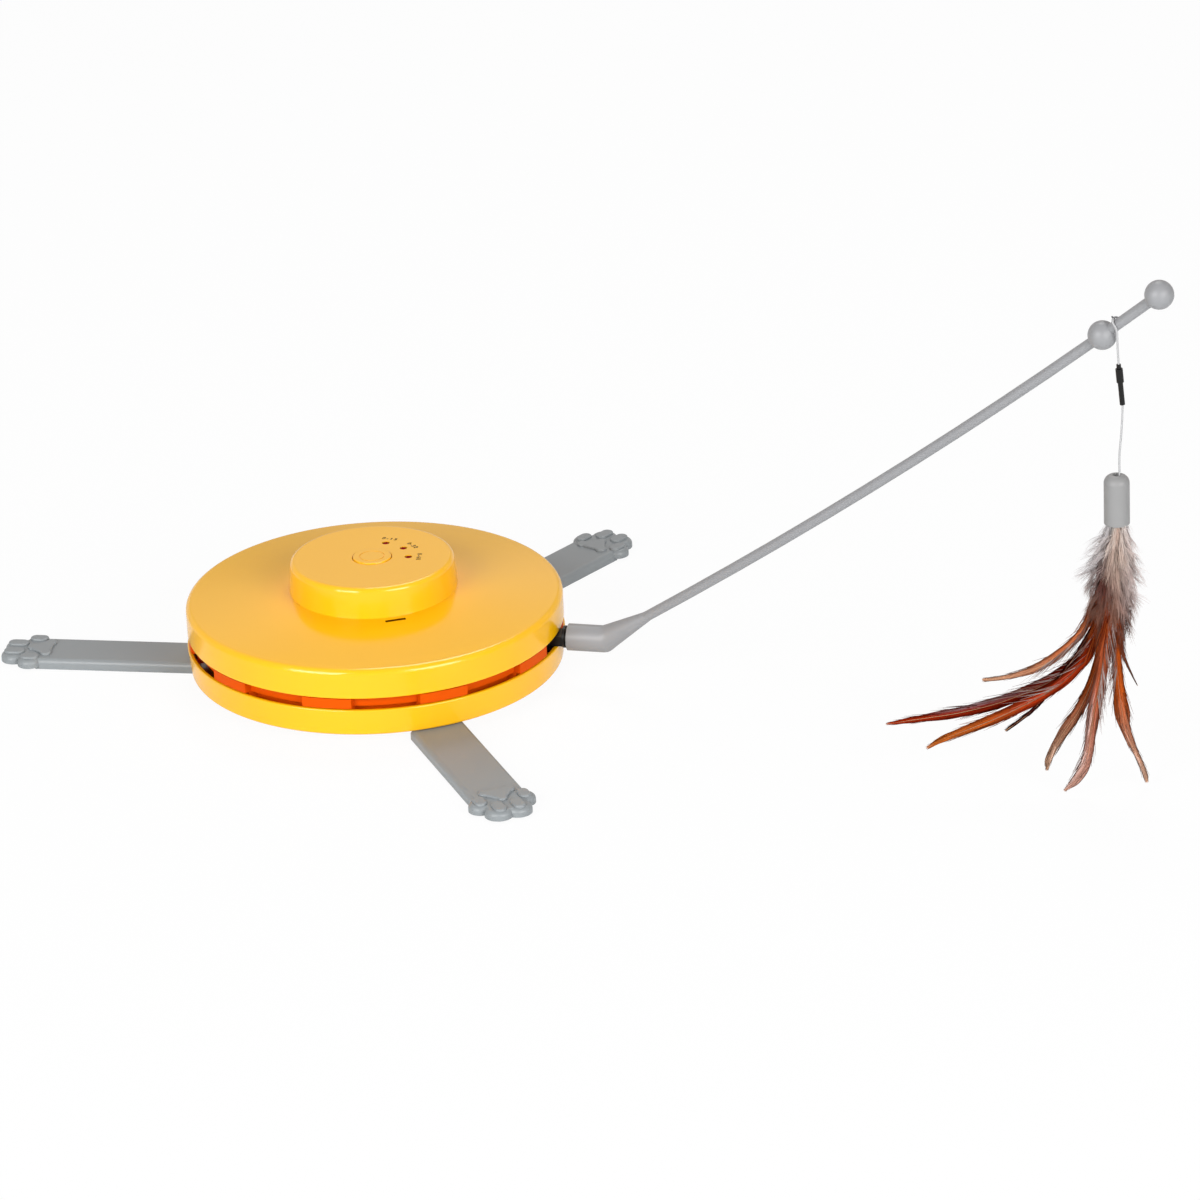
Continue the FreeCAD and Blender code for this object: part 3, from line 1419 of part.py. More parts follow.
def motor_body():
    """Builds the motor's can with the flat ends, its terminals and its screw holes."""
    body = new_body("motor")
    x, y = gear_axes()[2]
    base = s.gearbox_top + s.plate_thickness
    can = sketch_on(body, height=base)
    rectangle(can, -6.0, -5.0, 6.0, 5.0)
    pad(body, can, 15.0)
    round_edges(body, 1.6, lambda edge: edge.BoundBox.ZLength > 14.0)
    holes = sketch_on(body, height=base)
    circle(holes, 0, 0, s.gear_pin_radius + 0.05)
    for side in (-4.5, 4.5):
        circle(holes, side, 0, 0.9)
    cut(body, holes, 3.0, upward=True)
    tabs = sketch_on(body, height=base + 14.5)
    for side in (-1, 1):
        rectangle(tabs, side * 3.0 - 0.6, -0.9, side * 3.0 + 0.6, 0.9)
    pad(body, tabs, 0.9)
    return place(body, x, y)


def motor_screws():
    """Builds the two screws from below the top plate into the motor."""
    x, y = gear_axes()[2]
    low = s.gearbox_top
    members = []
    for word, side in (("left", -4.5), ("right", 4.5)):
        members.append(
            screw(f"motor_screw_{word}", x + side, y, (1.5, low - 1.0, low), (0.85, low, low + 4.4))
        )
    return group("motor_screws", members)


def motor_shaft():
    """Builds the motor's shaft."""
    x, y = gear_axes()[2]
    low = plate_top() + 4.6
    return cylinder("motor_shaft", s.gear_pin_radius, s.gearbox_top + s.plate_thickness + 2.6 - low, x, y, low)


def motor_pinion():
    """Builds the pinion on the motor's shaft."""
    body = new_body("motor_pinion")
    x, y = gear_axes()[2]
    low = plate_top() + 4.8
    toothed_disc(body, s.pinion_one_teeth, s.module_motor, low, low + 3.0, s.motor_azimuth + 180 + 180 / 10)
    hub = sketch_on(body, height=low + 2.5)
    circle(hub, 0, 0, 1.8)
    pad(body, hub, 1.7)
    bore = sketch_on(body, height=low - 1.0)
    circle(bore, 0, 0, s.gear_pin_radius + 0.01)
    cut(body, bore, 8.0, upward=True)
    return place(body, x, y)


# Upper housing and hub


def dome_height(radius):
    """Returns the height of the dome's outside at a radius."""
    run = s.housing_radius - s.dome_radius
    return s.rim_top + (s.housing_radius - radius) * (s.dome_top - s.rim_top) / run


def upper_housing():
    """Builds the upper housing with its collar, its posts and the slit near the hub."""
    body = new_body("upper_housing")
    wall = s.shell_wall
    inner = s.housing_radius - wall
    opening = s.collar_radius - wall
    revolve(body, [
        (inner, s.slot_top),
        (s.housing_radius, s.slot_top),
        (s.housing_radius, s.rim_top),
        (s.dome_radius, s.dome_top),
        (s.collar_radius, s.dome_top),
        (s.collar_radius, s.collar_top),
        (opening, s.collar_top),
        (opening, s.dome_top - wall),
        (s.dome_radius, s.dome_top - wall),
        (inner, dome_height(inner) - wall),
    ])
    posts = sketch_on(body, height=plate_top())
    for x, y in post_places():
        circle(posts, x, y, 3.0)
    pad(body, posts, s.dome_top - wall + 0.6 - plate_top())
    holes = sketch_on(body, height=plate_top())
    for x, y in post_places():
        circle(holes, x, y, 1.2)
    cut(body, holes, 10.5, upward=True)
    slit = sketch_on(body, height=s.dome_top + 1.0, turn=-75.4)
    cross_slit(slit, 45.9, 10.4, 1.0)
    cut(body, slit, 6.0)
    round_edges(body, s.rim_fillet, ring_edge((s.housing_radius, s.rim_top)))
    round_edges(body, 0.6, ring_edge((s.housing_radius, s.slot_top)))
    return body


def cross_slit(sketch, x, length, half_width):
    """Draws a narrow slit across the radial direction."""
    half = length / 2
    rectangle(sketch, x - half_width, -half, x + half_width, half)


def housing_screws():
    """Builds the screws from below through the gearbox base plate into the posts."""
    low = s.column_top
    members = []
    for number, (x, y) in enumerate(post_places()):
        members.append(
            screw(f"housing_screw_{number}", x, y, (2.4, low - 1.4, low), (1.15, low, low + 11.0))
        )
    return group("housing_screws", members)


BOARD_BOSSES = ((-8.0, 16.0), (-8.0, -16.0), (27.0, -12.0))
LAMP_AZIMUTHS = (68.6, 31.4, -5.8)


def lamp_places():
    """Returns the places of the three lamps."""
    return [around(s.lamp_ring, Size.of(azimuth)) for azimuth in LAMP_AZIMUTHS]


def board_top():
    """Returns the height of the control board's top."""
    return s.board_bottom + s.board_thickness


def hub_cap():
    """Builds the hub cap with the openings for button and lamps and the bosses for the board."""
    body = new_body("hub_cap")
    inner = s.collar_radius + 0.15
    roof = s.hub_top - s.hub_wall
    revolve(body, [
        (inner, s.dome_top),
        (s.hub_foot_radius, s.dome_top),
        (s.hub_top_radius, s.hub_top),
        (0, s.hub_top),
        (0, roof),
        (inner, roof),
    ])
    bosses = sketch_on(body, height=board_top())
    for x, y in BOARD_BOSSES:
        circle(bosses, x, y, 2.5)
    pad(body, bosses, roof + 0.5 - board_top())
    screw_holes = sketch_on(body, height=board_top())
    for x, y in BOARD_BOSSES:
        circle(screw_holes, x, y, 0.95)
    cut(body, screw_holes, 5.0, upward=True)
    holes = sketch_on(body, height=roof - 1.0)
    circle(holes, 0, 0, s.button_radius + s.button_gap)
    for x, y in lamp_places():
        circle(holes, x, y, s.lamp_radius + 0.1)
    cut(body, holes, s.hub_wall + 2.0, upward=True)
    round_edges(body, s.hub_fillet, ring_edge((s.hub_top_radius, s.hub_top)))
    round_edges(body, 0.35, ring_edge((s.button_radius + s.button_gap, s.hub_top)))
    return body


def power_button():
    """Builds the push button with the circle pressed into its face."""
    body = new_body("power_button")
    roof = s.hub_top - s.hub_wall
    top = s.hub_top + s.button_proud
    pip = board_top() + 4.3
    flange = s.button_radius + 1.5
    revolve(body, [
        (0, pip),
        (1.6, pip),
        (1.6, roof + 0.2),
        (s.button_radius - 1.5, roof + 0.2),
        (s.button_radius - 1.5, roof - 0.8),
        (flange, roof - 0.8),
        (flange, roof - 0.1),
        (s.button_radius, roof - 0.1),
        (s.button_radius, top),
        (0, top),
    ])
    revolve(body, [(5.95, top - 0.25), (6.35, top - 0.25), (6.35, top + 1.0), (5.95, top + 1.0)], cutting=True)
    round_edges(body, 0.5, ring_edge((s.button_radius, top)))
    return body


def control_board():
    """Builds the control board."""
    body = new_body("control_board")
    plate = sketch_on(body, height=s.board_bottom)
    rectangle(plate, -12.0, -20.0, 31.0, 20.0)
    pad(body, plate, s.board_thickness)
    holes = sketch_on(body, height=s.board_bottom)
    for x, y in BOARD_BOSSES:
        circle(holes, x, y, 1.1)
    cut(body, holes, 3.0, upward=True)
    return body


def board_screws():
    """Builds the screws that hold the board to the hub cap."""
    low = s.board_bottom
    members = []
    for number, (x, y) in enumerate(BOARD_BOSSES):
        members.append(screw(f"board_screw_{number}", x, y, (1.8, low - 1.2, low), (0.9, low, low + 5.5)))
    return group("board_screws", members)


def tact_switch():
    """Builds the push switch's case on the board."""
    body = new_body("tact_switch")
    case = sketch_on(body, height=board_top())
    rectangle(case, -3.0, -3.0, 3.0, 3.0)
    pad(body, case, 3.5)
    well = sketch_on(body, height=board_top() + 3.5)
    circle(well, 0, 0, 1.76)
    cut(body, well, s.button_travel + 0.2)
    return body


def switch_plunger():
    """Builds the switch's plunger, which follows the button."""
    low = board_top() + 3.5
    return cylinder("switch_plunger", 1.7, 0.8, 0, 0, low)


def indicator_lamps():
    """Builds the three dark red lamps."""
    members = []
    top = s.hub_top + 0.3
    for number, (x, y) in enumerate(lamp_places()):
        foot = cylinder(f"lamp_{number}_foot", s.lamp_radius + 0.35, 1.0, x, y, board_top())
        stem = cylinder(f"lamp_{number}_stem", s.lamp_radius, top - s.lamp_radius - board_top(), x, y, board_top())
        dome = ball(f"lamp_{number}_dome", s.lamp_radius, x, y, top - s.lamp_radius)
        members.append(fuse(f"lamp_{number}", [foot, stem, dome]))
    return group("indicator_lamps", members)


# Leads


def battery_lead(name, side):
    """Builds one lead from the battery box up through the column to the board."""
    turn = FreeCAD.Rotation(FreeCAD.Vector(0, 0, 1), float(s.battery_azimuth))
    start = turn.multVec(FreeCAD.Vector(float(s.box_start) - 0.2, 12.0 * side, 11.0))
    outlet = turn.multVec(FreeCAD.Vector(float(s.box_start) - 3.8, 12.0 * side, 11.0))
    middle = turn.multVec(FreeCAD.Vector(6.0, 7.5 * side, 11.0))
    foot = FreeCAD.Vector(2.5, -2.4 * side, 11.0)
    top = FreeCAD.Vector(2.5, -2.4 * side, float(s.board_bottom) - 0.02)
    solid, length = tube_shape([start, outlet, middle, foot, top], 0.6)
    report_length(name, length)
    return shape_part(name, solid)


def motor_leads():
    """Builds the two leads from the motor's terminals to the board."""
    x, y = (float(item) for item in gear_axes()[2])
    high = float(s.gearbox_top + s.plate_thickness) + 15.42
    board = float(board_top())
    members = []
    total = 0.0
    for side in (-1, 1):
        across = FreeCAD.Vector(-10.6, 7.5 - 2.2 * side, high + 0.42)
        rise = FreeCAD.Vector(x + 3.0 * side, y - 0.2, high + 0.42)
        foot = FreeCAD.Vector(-10.6, 7.5 - 2.2 * side, board + 0.02)
        solid, length = tube_shape([rise, across, foot], 0.4)
        members.append(solid)
        total += length
    report_length("motor_leads", total / 2)
    return shape_part("motor_leads", Part.makeCompound(members))


# Legs, drawn along X


def leg(name, number, out=0.0):
    """Builds one paw-shaped leg with the tongue that plugs into the base.

    out is how far the leg stands out of its socket. Its wide part is as much longer, so that it starts at
    the base like the others.
    """
    body = new_body(name)
    half = s.leg_width / 2
    start = s.leg_start - out
    bar = sketch_on(body)
    rectangle(bar, start, -half, s.leg_neck + 4.0, half)
    pad(body, bar, s.leg_thickness)
    lobes = (
        (s.leg_neck + 7.5, 10.8, 6.2),
        (s.leg_neck + 7.5, -10.8, 6.2),
        (s.leg_neck + 16.5, 4.9, 7.0),
        (s.leg_neck + 16.5, -4.9, 7.0),
        (s.leg_neck + 5.0, 0.0, 11.0),
    )
    for x, y, radius in lobes:
        lobe = sketch_on(body, height=s.paw_lift)
        circle(lobe, x, y, radius)
        pad(body, lobe, s.leg_thickness - s.paw_lift)
    round_edges(body, 2.4, flat_edge(s.leg_thickness, start - 1.0))
    tongue = sketch_on(body, height=s.tongue_bottom)
    rectangle(tongue, s.tongue_start, -s.tongue_width / 2, start + 1.5, s.tongue_width / 2)
    pad(body, tongue, s.leg_thickness - s.tongue_bottom)
    top = s.leg_thickness + s.pad_height
    toes = (
        (s.leg_neck + 5.5, s.leg_neck + 9.0, 11.3, 3.0),
        (s.leg_neck + 5.5, s.leg_neck + 9.0, -11.3, 3.0),
        (s.leg_neck + 14.4, s.leg_neck + 18.8, 4.9, 3.2),
        (s.leg_neck + 14.4, s.leg_neck + 18.8, -4.9, 3.2),
    )
    for x_low, x_high, y, radius in toes:
        toe = sketch_on(body, height=s.leg_thickness - 1.0)
        capsule(toe, x_low, x_high, y, radius)
        pad(body, toe, s.pad_height + 1.0)
    for x, y, radius in ((0.0, 6.2, 3.0), (0.0, -6.2, 3.0), (8.2, 0.0, 2.5)):
        lobe = sketch_on(body, height=s.leg_thickness - 1.0)
        circle(lobe, s.leg_neck + x, y, radius)
        pad(body, lobe, s.pad_height + 1.0)
    middle = sketch_on(body, height=s.leg_thickness - 1.0)
    corners = ((-2.2, -6.2), (1.0, -8.2), (9.3, -1.6), (9.3, 1.6), (1.0, 8.2), (-2.2, 6.2))
    polygon(middle, [(s.leg_neck + x, y) for x, y in corners])
    pad(body, middle, s.pad_height + 1.0)
    round_edges(body, 0.8, flat_edge(top))
    x, y = around(Size.of(out), leg_azimuth(number))
    place(body, x, y, turns=(("z", leg_azimuth(number)),))
    return body


# Build, check and write every part


def build_parts():
    """Builds all parts and returns them."""
    parts = [
        lower_housing(), bottom_cover(), cover_screws(), battery_door(), battery_cells(), battery_contacts(),
        contact_springs(), centre_column(), column_screws(), thrust_washer(), rotor_bush(), turntable(),
        ring_gear(), gear_screws(), wand_arm(), arm_screws(), swivel_bush(), o_ring(), swivel_screw(), wand(),
        upper_string(), string_clasp(), lower_string(), feather_cap(),
    ]
    parts += feathers()
    parts += [gearbox_base(), plate_screws(), gearbox_top(), pillar_screws()]
    parts += gears()
    parts += [
        gear_pins(), motor_body(), motor_screws(), motor_shaft(), motor_pinion(), upper_housing(),
        housing_screws(), hub_cap(), power_button(), control_board(), board_screws(), tact_switch(),
        switch_plunger(), indicator_lamps(), battery_lead("battery_lead_red", 1),
        battery_lead("battery_lead_black", -1), motor_leads(),
        leg("paw_leg_back", 0), leg("paw_leg_left", 1), leg("paw_leg_front", 2, s.front_leg_out),
    ]
    return parts


def check_document():
    """Stops when a feature failed or a cut took nothing away."""
    for item in DOCUMENT.Objects:
        if "Invalid" in item.State or "Error" in item.State:
            raise RuntimeError(f"{item.Name}: {item.State}")
        if item.TypeId in ("PartDesign::Pocket", "PartDesign::Groove"):
            if item.Shape.Volume > item.BaseFeature.Shape.Volume - 0.01:
                raise RuntimeError(f"{item.Name}: cut took nothing away")


def write_parts(parts):
    """Checks each part's shape and writes it."""
    os.makedirs(OUTPUT, exist_ok=True)
    for part in parts:
        if part.Shape.isNull() or not part.Shape.isValid():
            raise RuntimeError(f"{part.Name}: bad shape")
        part.Label = part.Name
        part.Shape.exportStep(os.path.join(OUTPUT, f"{part.Name}.step"))
        size = part.Shape.BoundBox
        print(f"{part.Name}: {len(part.Shape.Solids)} solid, {size.XLength:.1f} x {size.YLength:.1f} x "
              f"{size.ZLength:.1f} mm")


PARTS = build_parts()
DOCUMENT.recompute()
check_document()
write_parts(PARTS)
point = knot_point()
direction = rod_direction()
print(f"knot {point.x:.3f} {point.y:.3f} {point.z:.3f}, rod {direction.x:.4f} {direction.y:.4f} {direction.z:.4f}")
print(f"{len(PARTS)} parts written")
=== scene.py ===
"""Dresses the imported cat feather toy: shells, wand, strings, feathers, floor, light and camera."""

import json
import logging
import math
import random
from dataclasses import dataclass, field
from enum import Enum
from typing import ClassVar, Sequence

import bpy
from mathutils import Matrix, Vector


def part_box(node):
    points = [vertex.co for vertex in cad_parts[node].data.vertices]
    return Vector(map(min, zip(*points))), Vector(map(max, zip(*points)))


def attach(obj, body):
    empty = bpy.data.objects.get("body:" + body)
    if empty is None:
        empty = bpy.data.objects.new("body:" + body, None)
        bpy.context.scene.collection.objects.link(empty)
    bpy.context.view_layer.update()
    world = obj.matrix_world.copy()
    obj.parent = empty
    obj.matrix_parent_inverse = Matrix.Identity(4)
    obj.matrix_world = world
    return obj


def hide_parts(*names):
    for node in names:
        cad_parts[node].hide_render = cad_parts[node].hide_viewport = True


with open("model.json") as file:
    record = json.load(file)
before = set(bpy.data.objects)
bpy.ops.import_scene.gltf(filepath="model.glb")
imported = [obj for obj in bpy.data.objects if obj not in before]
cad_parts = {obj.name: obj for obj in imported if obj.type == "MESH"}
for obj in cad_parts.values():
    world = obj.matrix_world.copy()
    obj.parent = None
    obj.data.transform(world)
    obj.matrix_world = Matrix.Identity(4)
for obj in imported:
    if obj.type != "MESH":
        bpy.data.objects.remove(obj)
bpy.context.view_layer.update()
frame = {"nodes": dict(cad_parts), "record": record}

LOG = logging.getLogger("cat_feather_toy")
MM = 0.001
# Numbers of a Mix node's colour sockets: the share, both colours and the result.
SHARE, FIRST, SECOND, RESULT = 0, 6, 7, 2
# A wave texture of this scale draws one band for each millimetre.
BANDS_PER_MM = 314
Point = tuple[float, float, float]
Colour = tuple[float, float, float, float]


class Body(str, Enum):
    """The rigid bodies that the pieces made here ride on."""

    BASE = "base"
    LURE = "lure"


def clamp(value: float) -> float:
    """Returns a value held between 0 and 1."""
    return max(0.0, min(1.0, value))


def linear(colour: str) -> Colour:
    """Turns an sRGB hex colour into linear numbers.

    Args:
        colour: six hex digits.

    Returns:
        Red, green, blue and an alpha of one.
    """
    parts = []
    for start in (0, 2, 4):
        share = int(colour[start:start + 2], 16) / 255
        parts.append(share / 12.92 if share <= 0.04045 else ((share + 0.055) / 1.055) ** 2.4)
    return (*parts, 1.0)


def blend(first: Colour, second: Colour, share: float) -> Colour:
    """Mixes two linear colours.

    Args:
        first: colour at share 0.
        second: colour at share 1.
        share: where between them, held between 0 and 1.

    Returns:
        The mixed linear colour.
    """
    share = clamp(share)
    return tuple(a + (b - a) * share for a, b in zip(first, second))


def shaded(colour: Colour, level: float) -> Colour:
    """Returns a linear colour made lighter or darker by a factor."""
    return (*(min(1.0, value * level) for value in colour[:3]), 1.0)


def add_node(tree: bpy.types.NodeTree, kind: str, settings: dict | None = None,
             inputs: dict | None = None) -> bpy.types.Node:
    """Adds a node with its settings, values and links.

    Args:
        tree: the tree that gets the node.
        kind: the node's type.
        settings: properties of the node itself.
        inputs: values or output sockets, by the input's name or number.

    Returns:
        The new node.
    """
    node = tree.nodes.new(kind)
    for key, value in (settings or {}).items():
        setattr(node, key, value)
    for key, value in (inputs or {}).items():
        if isinstance(value, bpy.types.NodeSocket):
            tree.links.new(value, node.inputs[key])
        else:
            node.inputs[key].default_value = value
    return node


def new_material(name: str) -> tuple[bpy.types.Material, bpy.types.NodeTree]:
    """Returns an empty node material and its tree.

    Args:
        name: the material's name.

    Returns:
        The material and its tree.
    """
    material = bpy.data.materials.new(name)
    material.use_nodes = True
    material.node_tree.nodes.clear()
    return material, material.node_tree


def relief(tree: bpy.types.NodeTree, height: bpy.types.NodeSocket, roughness: tuple[float, float],
           strength: float, depth: float) -> dict[str, bpy.types.NodeSocket]:
    """Lets a pattern of heights show in the gloss and as fine bumps.

    Args:
        tree: the material's tree.
        height: the pattern, from 0 to 1.
        roughness: roughness in the hollows and on the crests.
        strength: strength of the bumps.
        depth: depth of the bumps in millimetres.

    Returns:
        The roughness and the normal for the shader.
    """
    rough = add_node(tree, "ShaderNodeMapRange", None, {
        "Value": height, "To Min": roughness[0], "To Max": roughness[1]})
    bump = add_node(tree, "ShaderNodeBump", None, {
        "Height": height, "Strength": strength, "Distance": depth * MM})
    return {"Roughness": rough.outputs["Result"], "Normal": bump.outputs["Normal"]}


def surface(tree: bpy.types.NodeTree, inputs: dict) -> None:
    """Ends a material in its shader and the output."""
    shader = add_node(tree, "ShaderNodeBsdfPrincipled", None, inputs)
    add_node(tree, "ShaderNodeOutputMaterial", None, {"Surface": shader.outputs["BSDF"]})


@dataclass(frozen=True)
class MouldedPlastic:
    """Injection moulded plastic: even colour, a faint flow mottle and a fine skin from the mould.

    The mottle's flow marks are wide and barely visible. The mould's real skin is finer than a tenth of a
    millimetre. It is drawn coarser here, so that it breaks the gloss up a little. Sizes are in millimetres.
    """

    name: str
    colour: str
    shade: str
    roughness: float
    skin_mm: float = 0.6
    skin_depth: float = 0.004
    ior: float = 1.5
    coat: float = 0.0
    flow_mm: float = 40.0
    gloss_spread: float = 0.15
    bump: float = 0.35
    coat_roughness: float = 0.08

    def tone(self, tree: bpy.types.NodeTree, place: bpy.types.NodeSocket) -> bpy.types.NodeSocket:
        """Mottles the colour.

        Args:
            tree: the material's tree.
            place: the object's coordinates.

        Returns:
            The colour.
        """
        flow = add_node(tree, "ShaderNodeTexNoise", None, {
            "Vector": place, "Scale": 1000 / self.flow_mm, "Detail": 2.0})
        mottle = add_node(tree, "ShaderNodeMix", {"data_type": "RGBA"}, {
            SHARE: flow.outputs["Fac"], FIRST: linear(self.colour), SECOND: linear(self.shade)})
        return mottle.outputs[RESULT]

    def build(self) -> bpy.types.Material:
        """Returns the material."""
        material, tree = new_material(self.name)
        place = add_node(tree, "ShaderNodeTexCoord").outputs["Object"]
        tone = self.tone(tree, place)
        skin = add_node(tree, "ShaderNodeTexNoise", None, {
            "Vector": place, "Scale": 1000 / self.skin_mm, "Detail": 3.0})
        glosses = (self.roughness * (1 - self.gloss_spread), self.roughness * (1 + self.gloss_spread))
        surface(tree, {"Base Color": tone, "IOR": self.ior, "Coat Weight": self.coat,
                       "Coat Roughness": self.coat_roughness,
                       **relief(tree, skin.outputs["Fac"], glosses, self.bump, self.skin_depth)})
        return material


@dataclass(frozen=True)
class SlitPlastic(MouldedPlastic):
    """Moulded plastic of the dome, with painted shade on the walls of the slit near the hub.

    The dome's top falls outwards there along a straight line, and the slit's walls are what lies below it.
    Heights and distances are in metres.
    """

    # The dark brown painted on the slit's walls as their shade.
    slit_painted_shade: str = "5a2c00"
    line_fall: float = -0.0918
    line_height: float = 0.0496
    reach: float = 0.05

    def tone(self, tree: bpy.types.NodeTree, place: bpy.types.NodeSocket) -> bpy.types.NodeSocket:
        """Mottles the colour and paints shade on the slit's walls.

        Args:
            tree: the material's tree.
            place: the object's coordinates.

        Returns:
            The colour.
        """
        plain = super().tone(tree, place)
        flat = add_node(tree, "ShaderNodeVectorMath", {"operation": "MULTIPLY"}, {
            0: place, 1: (1.0, 1.0, 0.0)})
        radius = add_node(tree, "ShaderNodeVectorMath", {"operation": "LENGTH"}, {
            0: flat.outputs["Vector"]}).outputs["Value"]
        line = add_node(tree, "ShaderNodeMath", {"operation": "MULTIPLY_ADD"}, {
            0: radius, 1: self.line_fall, 2: self.line_height})
        height = add_node(tree, "ShaderNodeSeparateXYZ", None, {"Vector": place}).outputs["Z"]
        under = add_node(tree, "ShaderNodeMath", {"operation": "LESS_THAN"}, {0: height, 1: line.outputs[0]})
        near = add_node(tree, "ShaderNodeMath", {"operation": "LESS_THAN"}, {0: radius, 1: self.reach})
        walls = add_node(tree, "ShaderNodeMath", {"operation": "MULTIPLY"}, {
            0: under.outputs[0], 1: near.outputs[0]})
        # Painted shade: below the dome's line and near the hub, the colour turns dark brown.
        dark = add_node(tree, "ShaderNodeMix", {"data_type": "RGBA"}, {
            SHARE: walls.outputs[0], FIRST: plain, SECOND: linear(self.slit_painted_shade)})
        return dark.outputs[RESULT]


@dataclass(frozen=True)
class PlatedSteel:
    """Zinc or nickel plated steel. Fine lines from drawing streak its gloss.

    The real lines are too fine to show, so they are drawn a quarter of a millimetre apart.
    """

    name: str
    colour: str
    roughness: float
    line_mm: float = 0.25
    line_depth: float = 0.01
    stretch: float = 0.08
    gloss_shares: tuple[float, float] = (0.7, 1.4)
    bump: float = 0.3

    def build(self) -> bpy.types.Material:
        """Returns the material."""
        material, tree = new_material(self.name)
        place = add_node(tree, "ShaderNodeTexCoord").outputs["Object"]
        drawn = add_node(tree, "ShaderNodeMapping", None, {
            "Vector": place, "Scale": (1.0, 1.0, self.stretch)})
        lines = add_node(tree, "ShaderNodeTexNoise", None, {
            "Vector": drawn.outputs["Vector"], "Scale": 1000 / self.line_mm, "Detail": 2.0})
        glosses = tuple(self.roughness * share for share in self.gloss_shares)
        surface(tree, {"Base Color": linear(self.colour), "Metallic": 1.0,
                       **relief(tree, lines.outputs["Fac"], glosses, self.bump, self.line_depth)})
        return material


@dataclass(frozen=True)
class TwistedString:
    """Twisted cotton string: slanted strand ridges across the cord, painted shade between them, no gloss."""

    name: str
    colour: str
    painted_hollow_shade: str
    twist_mm: float = 1.1
    slant: Point = (0.5, 0.6, 0.0)
    unevenness: float = 0.5
    ridge_mm: float = 0.005
    bump: float = 0.12
    roughness: float = 0.95
    ior: float = 1.2

    def build(self) -> bpy.types.Material:
        """Returns the material."""
        material, tree = new_material(self.name)
        place = add_node(tree, "ShaderNodeTexCoord").outputs["Object"]
        turned = add_node(tree, "ShaderNodeMapping", None, {"Vector": place, "Rotation": self.slant})
        ridges = add_node(tree, "ShaderNodeTexWave", {"bands_direction": "Z"}, {
            "Vector": turned.outputs["Vector"], "Scale": BANDS_PER_MM / self.twist_mm,
            "Distortion": self.unevenness}).outputs["Fac"]
        # Painted shade: the hollows between the ridges take the darker colour.
        tone = add_node(tree, "ShaderNodeMix", {"data_type": "RGBA"}, {
            SHARE: ridges, FIRST: linear(self.painted_hollow_shade), SECOND: linear(self.colour)})
        bump = add_node(tree, "ShaderNodeBump", None, {
            "Height": ridges, "Strength": self.bump, "Distance": self.ridge_mm * MM})
        surface(tree, {"Base Color": tone.outputs[RESULT], "Roughness": self.roughness, "IOR": self.ior,
                       "Normal": bump.outputs["Normal"]})
        return material


@dataclass(frozen=True)
class Plume:
    """Feather barbs. Each barb carries its own dye, and light passes through the thin ones.

    The hooks along a real barb are too fine to show. Short streaks, half a millimetre long, stand for them.
    """

    name: str
    roughness: float
    through: float
    ior: float
    streak_mm: float = 0.5
    streak_levels: tuple[float, float] = (0.86, 1.14)

    def build(self) -> bpy.types.Material:
        """Returns the material."""
        material, tree = new_material(self.name)
        dye = add_node(tree, "ShaderNodeAttribute", {"attribute_name": "dye"}).outputs["Color"]
        place = add_node(tree, "ShaderNodeTexCoord").outputs["Object"]
        streaks = add_node(tree, "ShaderNodeTexNoise", None, {
            "Vector": place, "Scale": 1000 / self.streak_mm, "Detail": 2.0})
        faint, strong = self.streak_levels
        level = add_node(tree, "ShaderNodeMapRange", None, {
            "Value": streaks.outputs["Fac"], "To Min": faint, "To Max": strong})
        tone = add_node(tree, "ShaderNodeVectorMath", {"operation": "SCALE"}, {
            0: dye, "Scale": level.outputs["Result"]}).outputs["Vector"]
        shader = add_node(tree, "ShaderNodeBsdfPrincipled", None, {
            "Base Color": tone, "Roughness": self.roughness, "IOR": self.ior})
        glow = add_node(tree, "ShaderNodeBsdfTranslucent", None, {"Color": tone})
        mix = add_node(tree, "ShaderNodeMixShader", None, {
            0: self.through, 1: shader.outputs["BSDF"], 2: glow.outputs["BSDF"]})
        add_node(tree, "ShaderNodeOutputMaterial", None, {"Surface": mix.outputs["Shader"]})
        return material


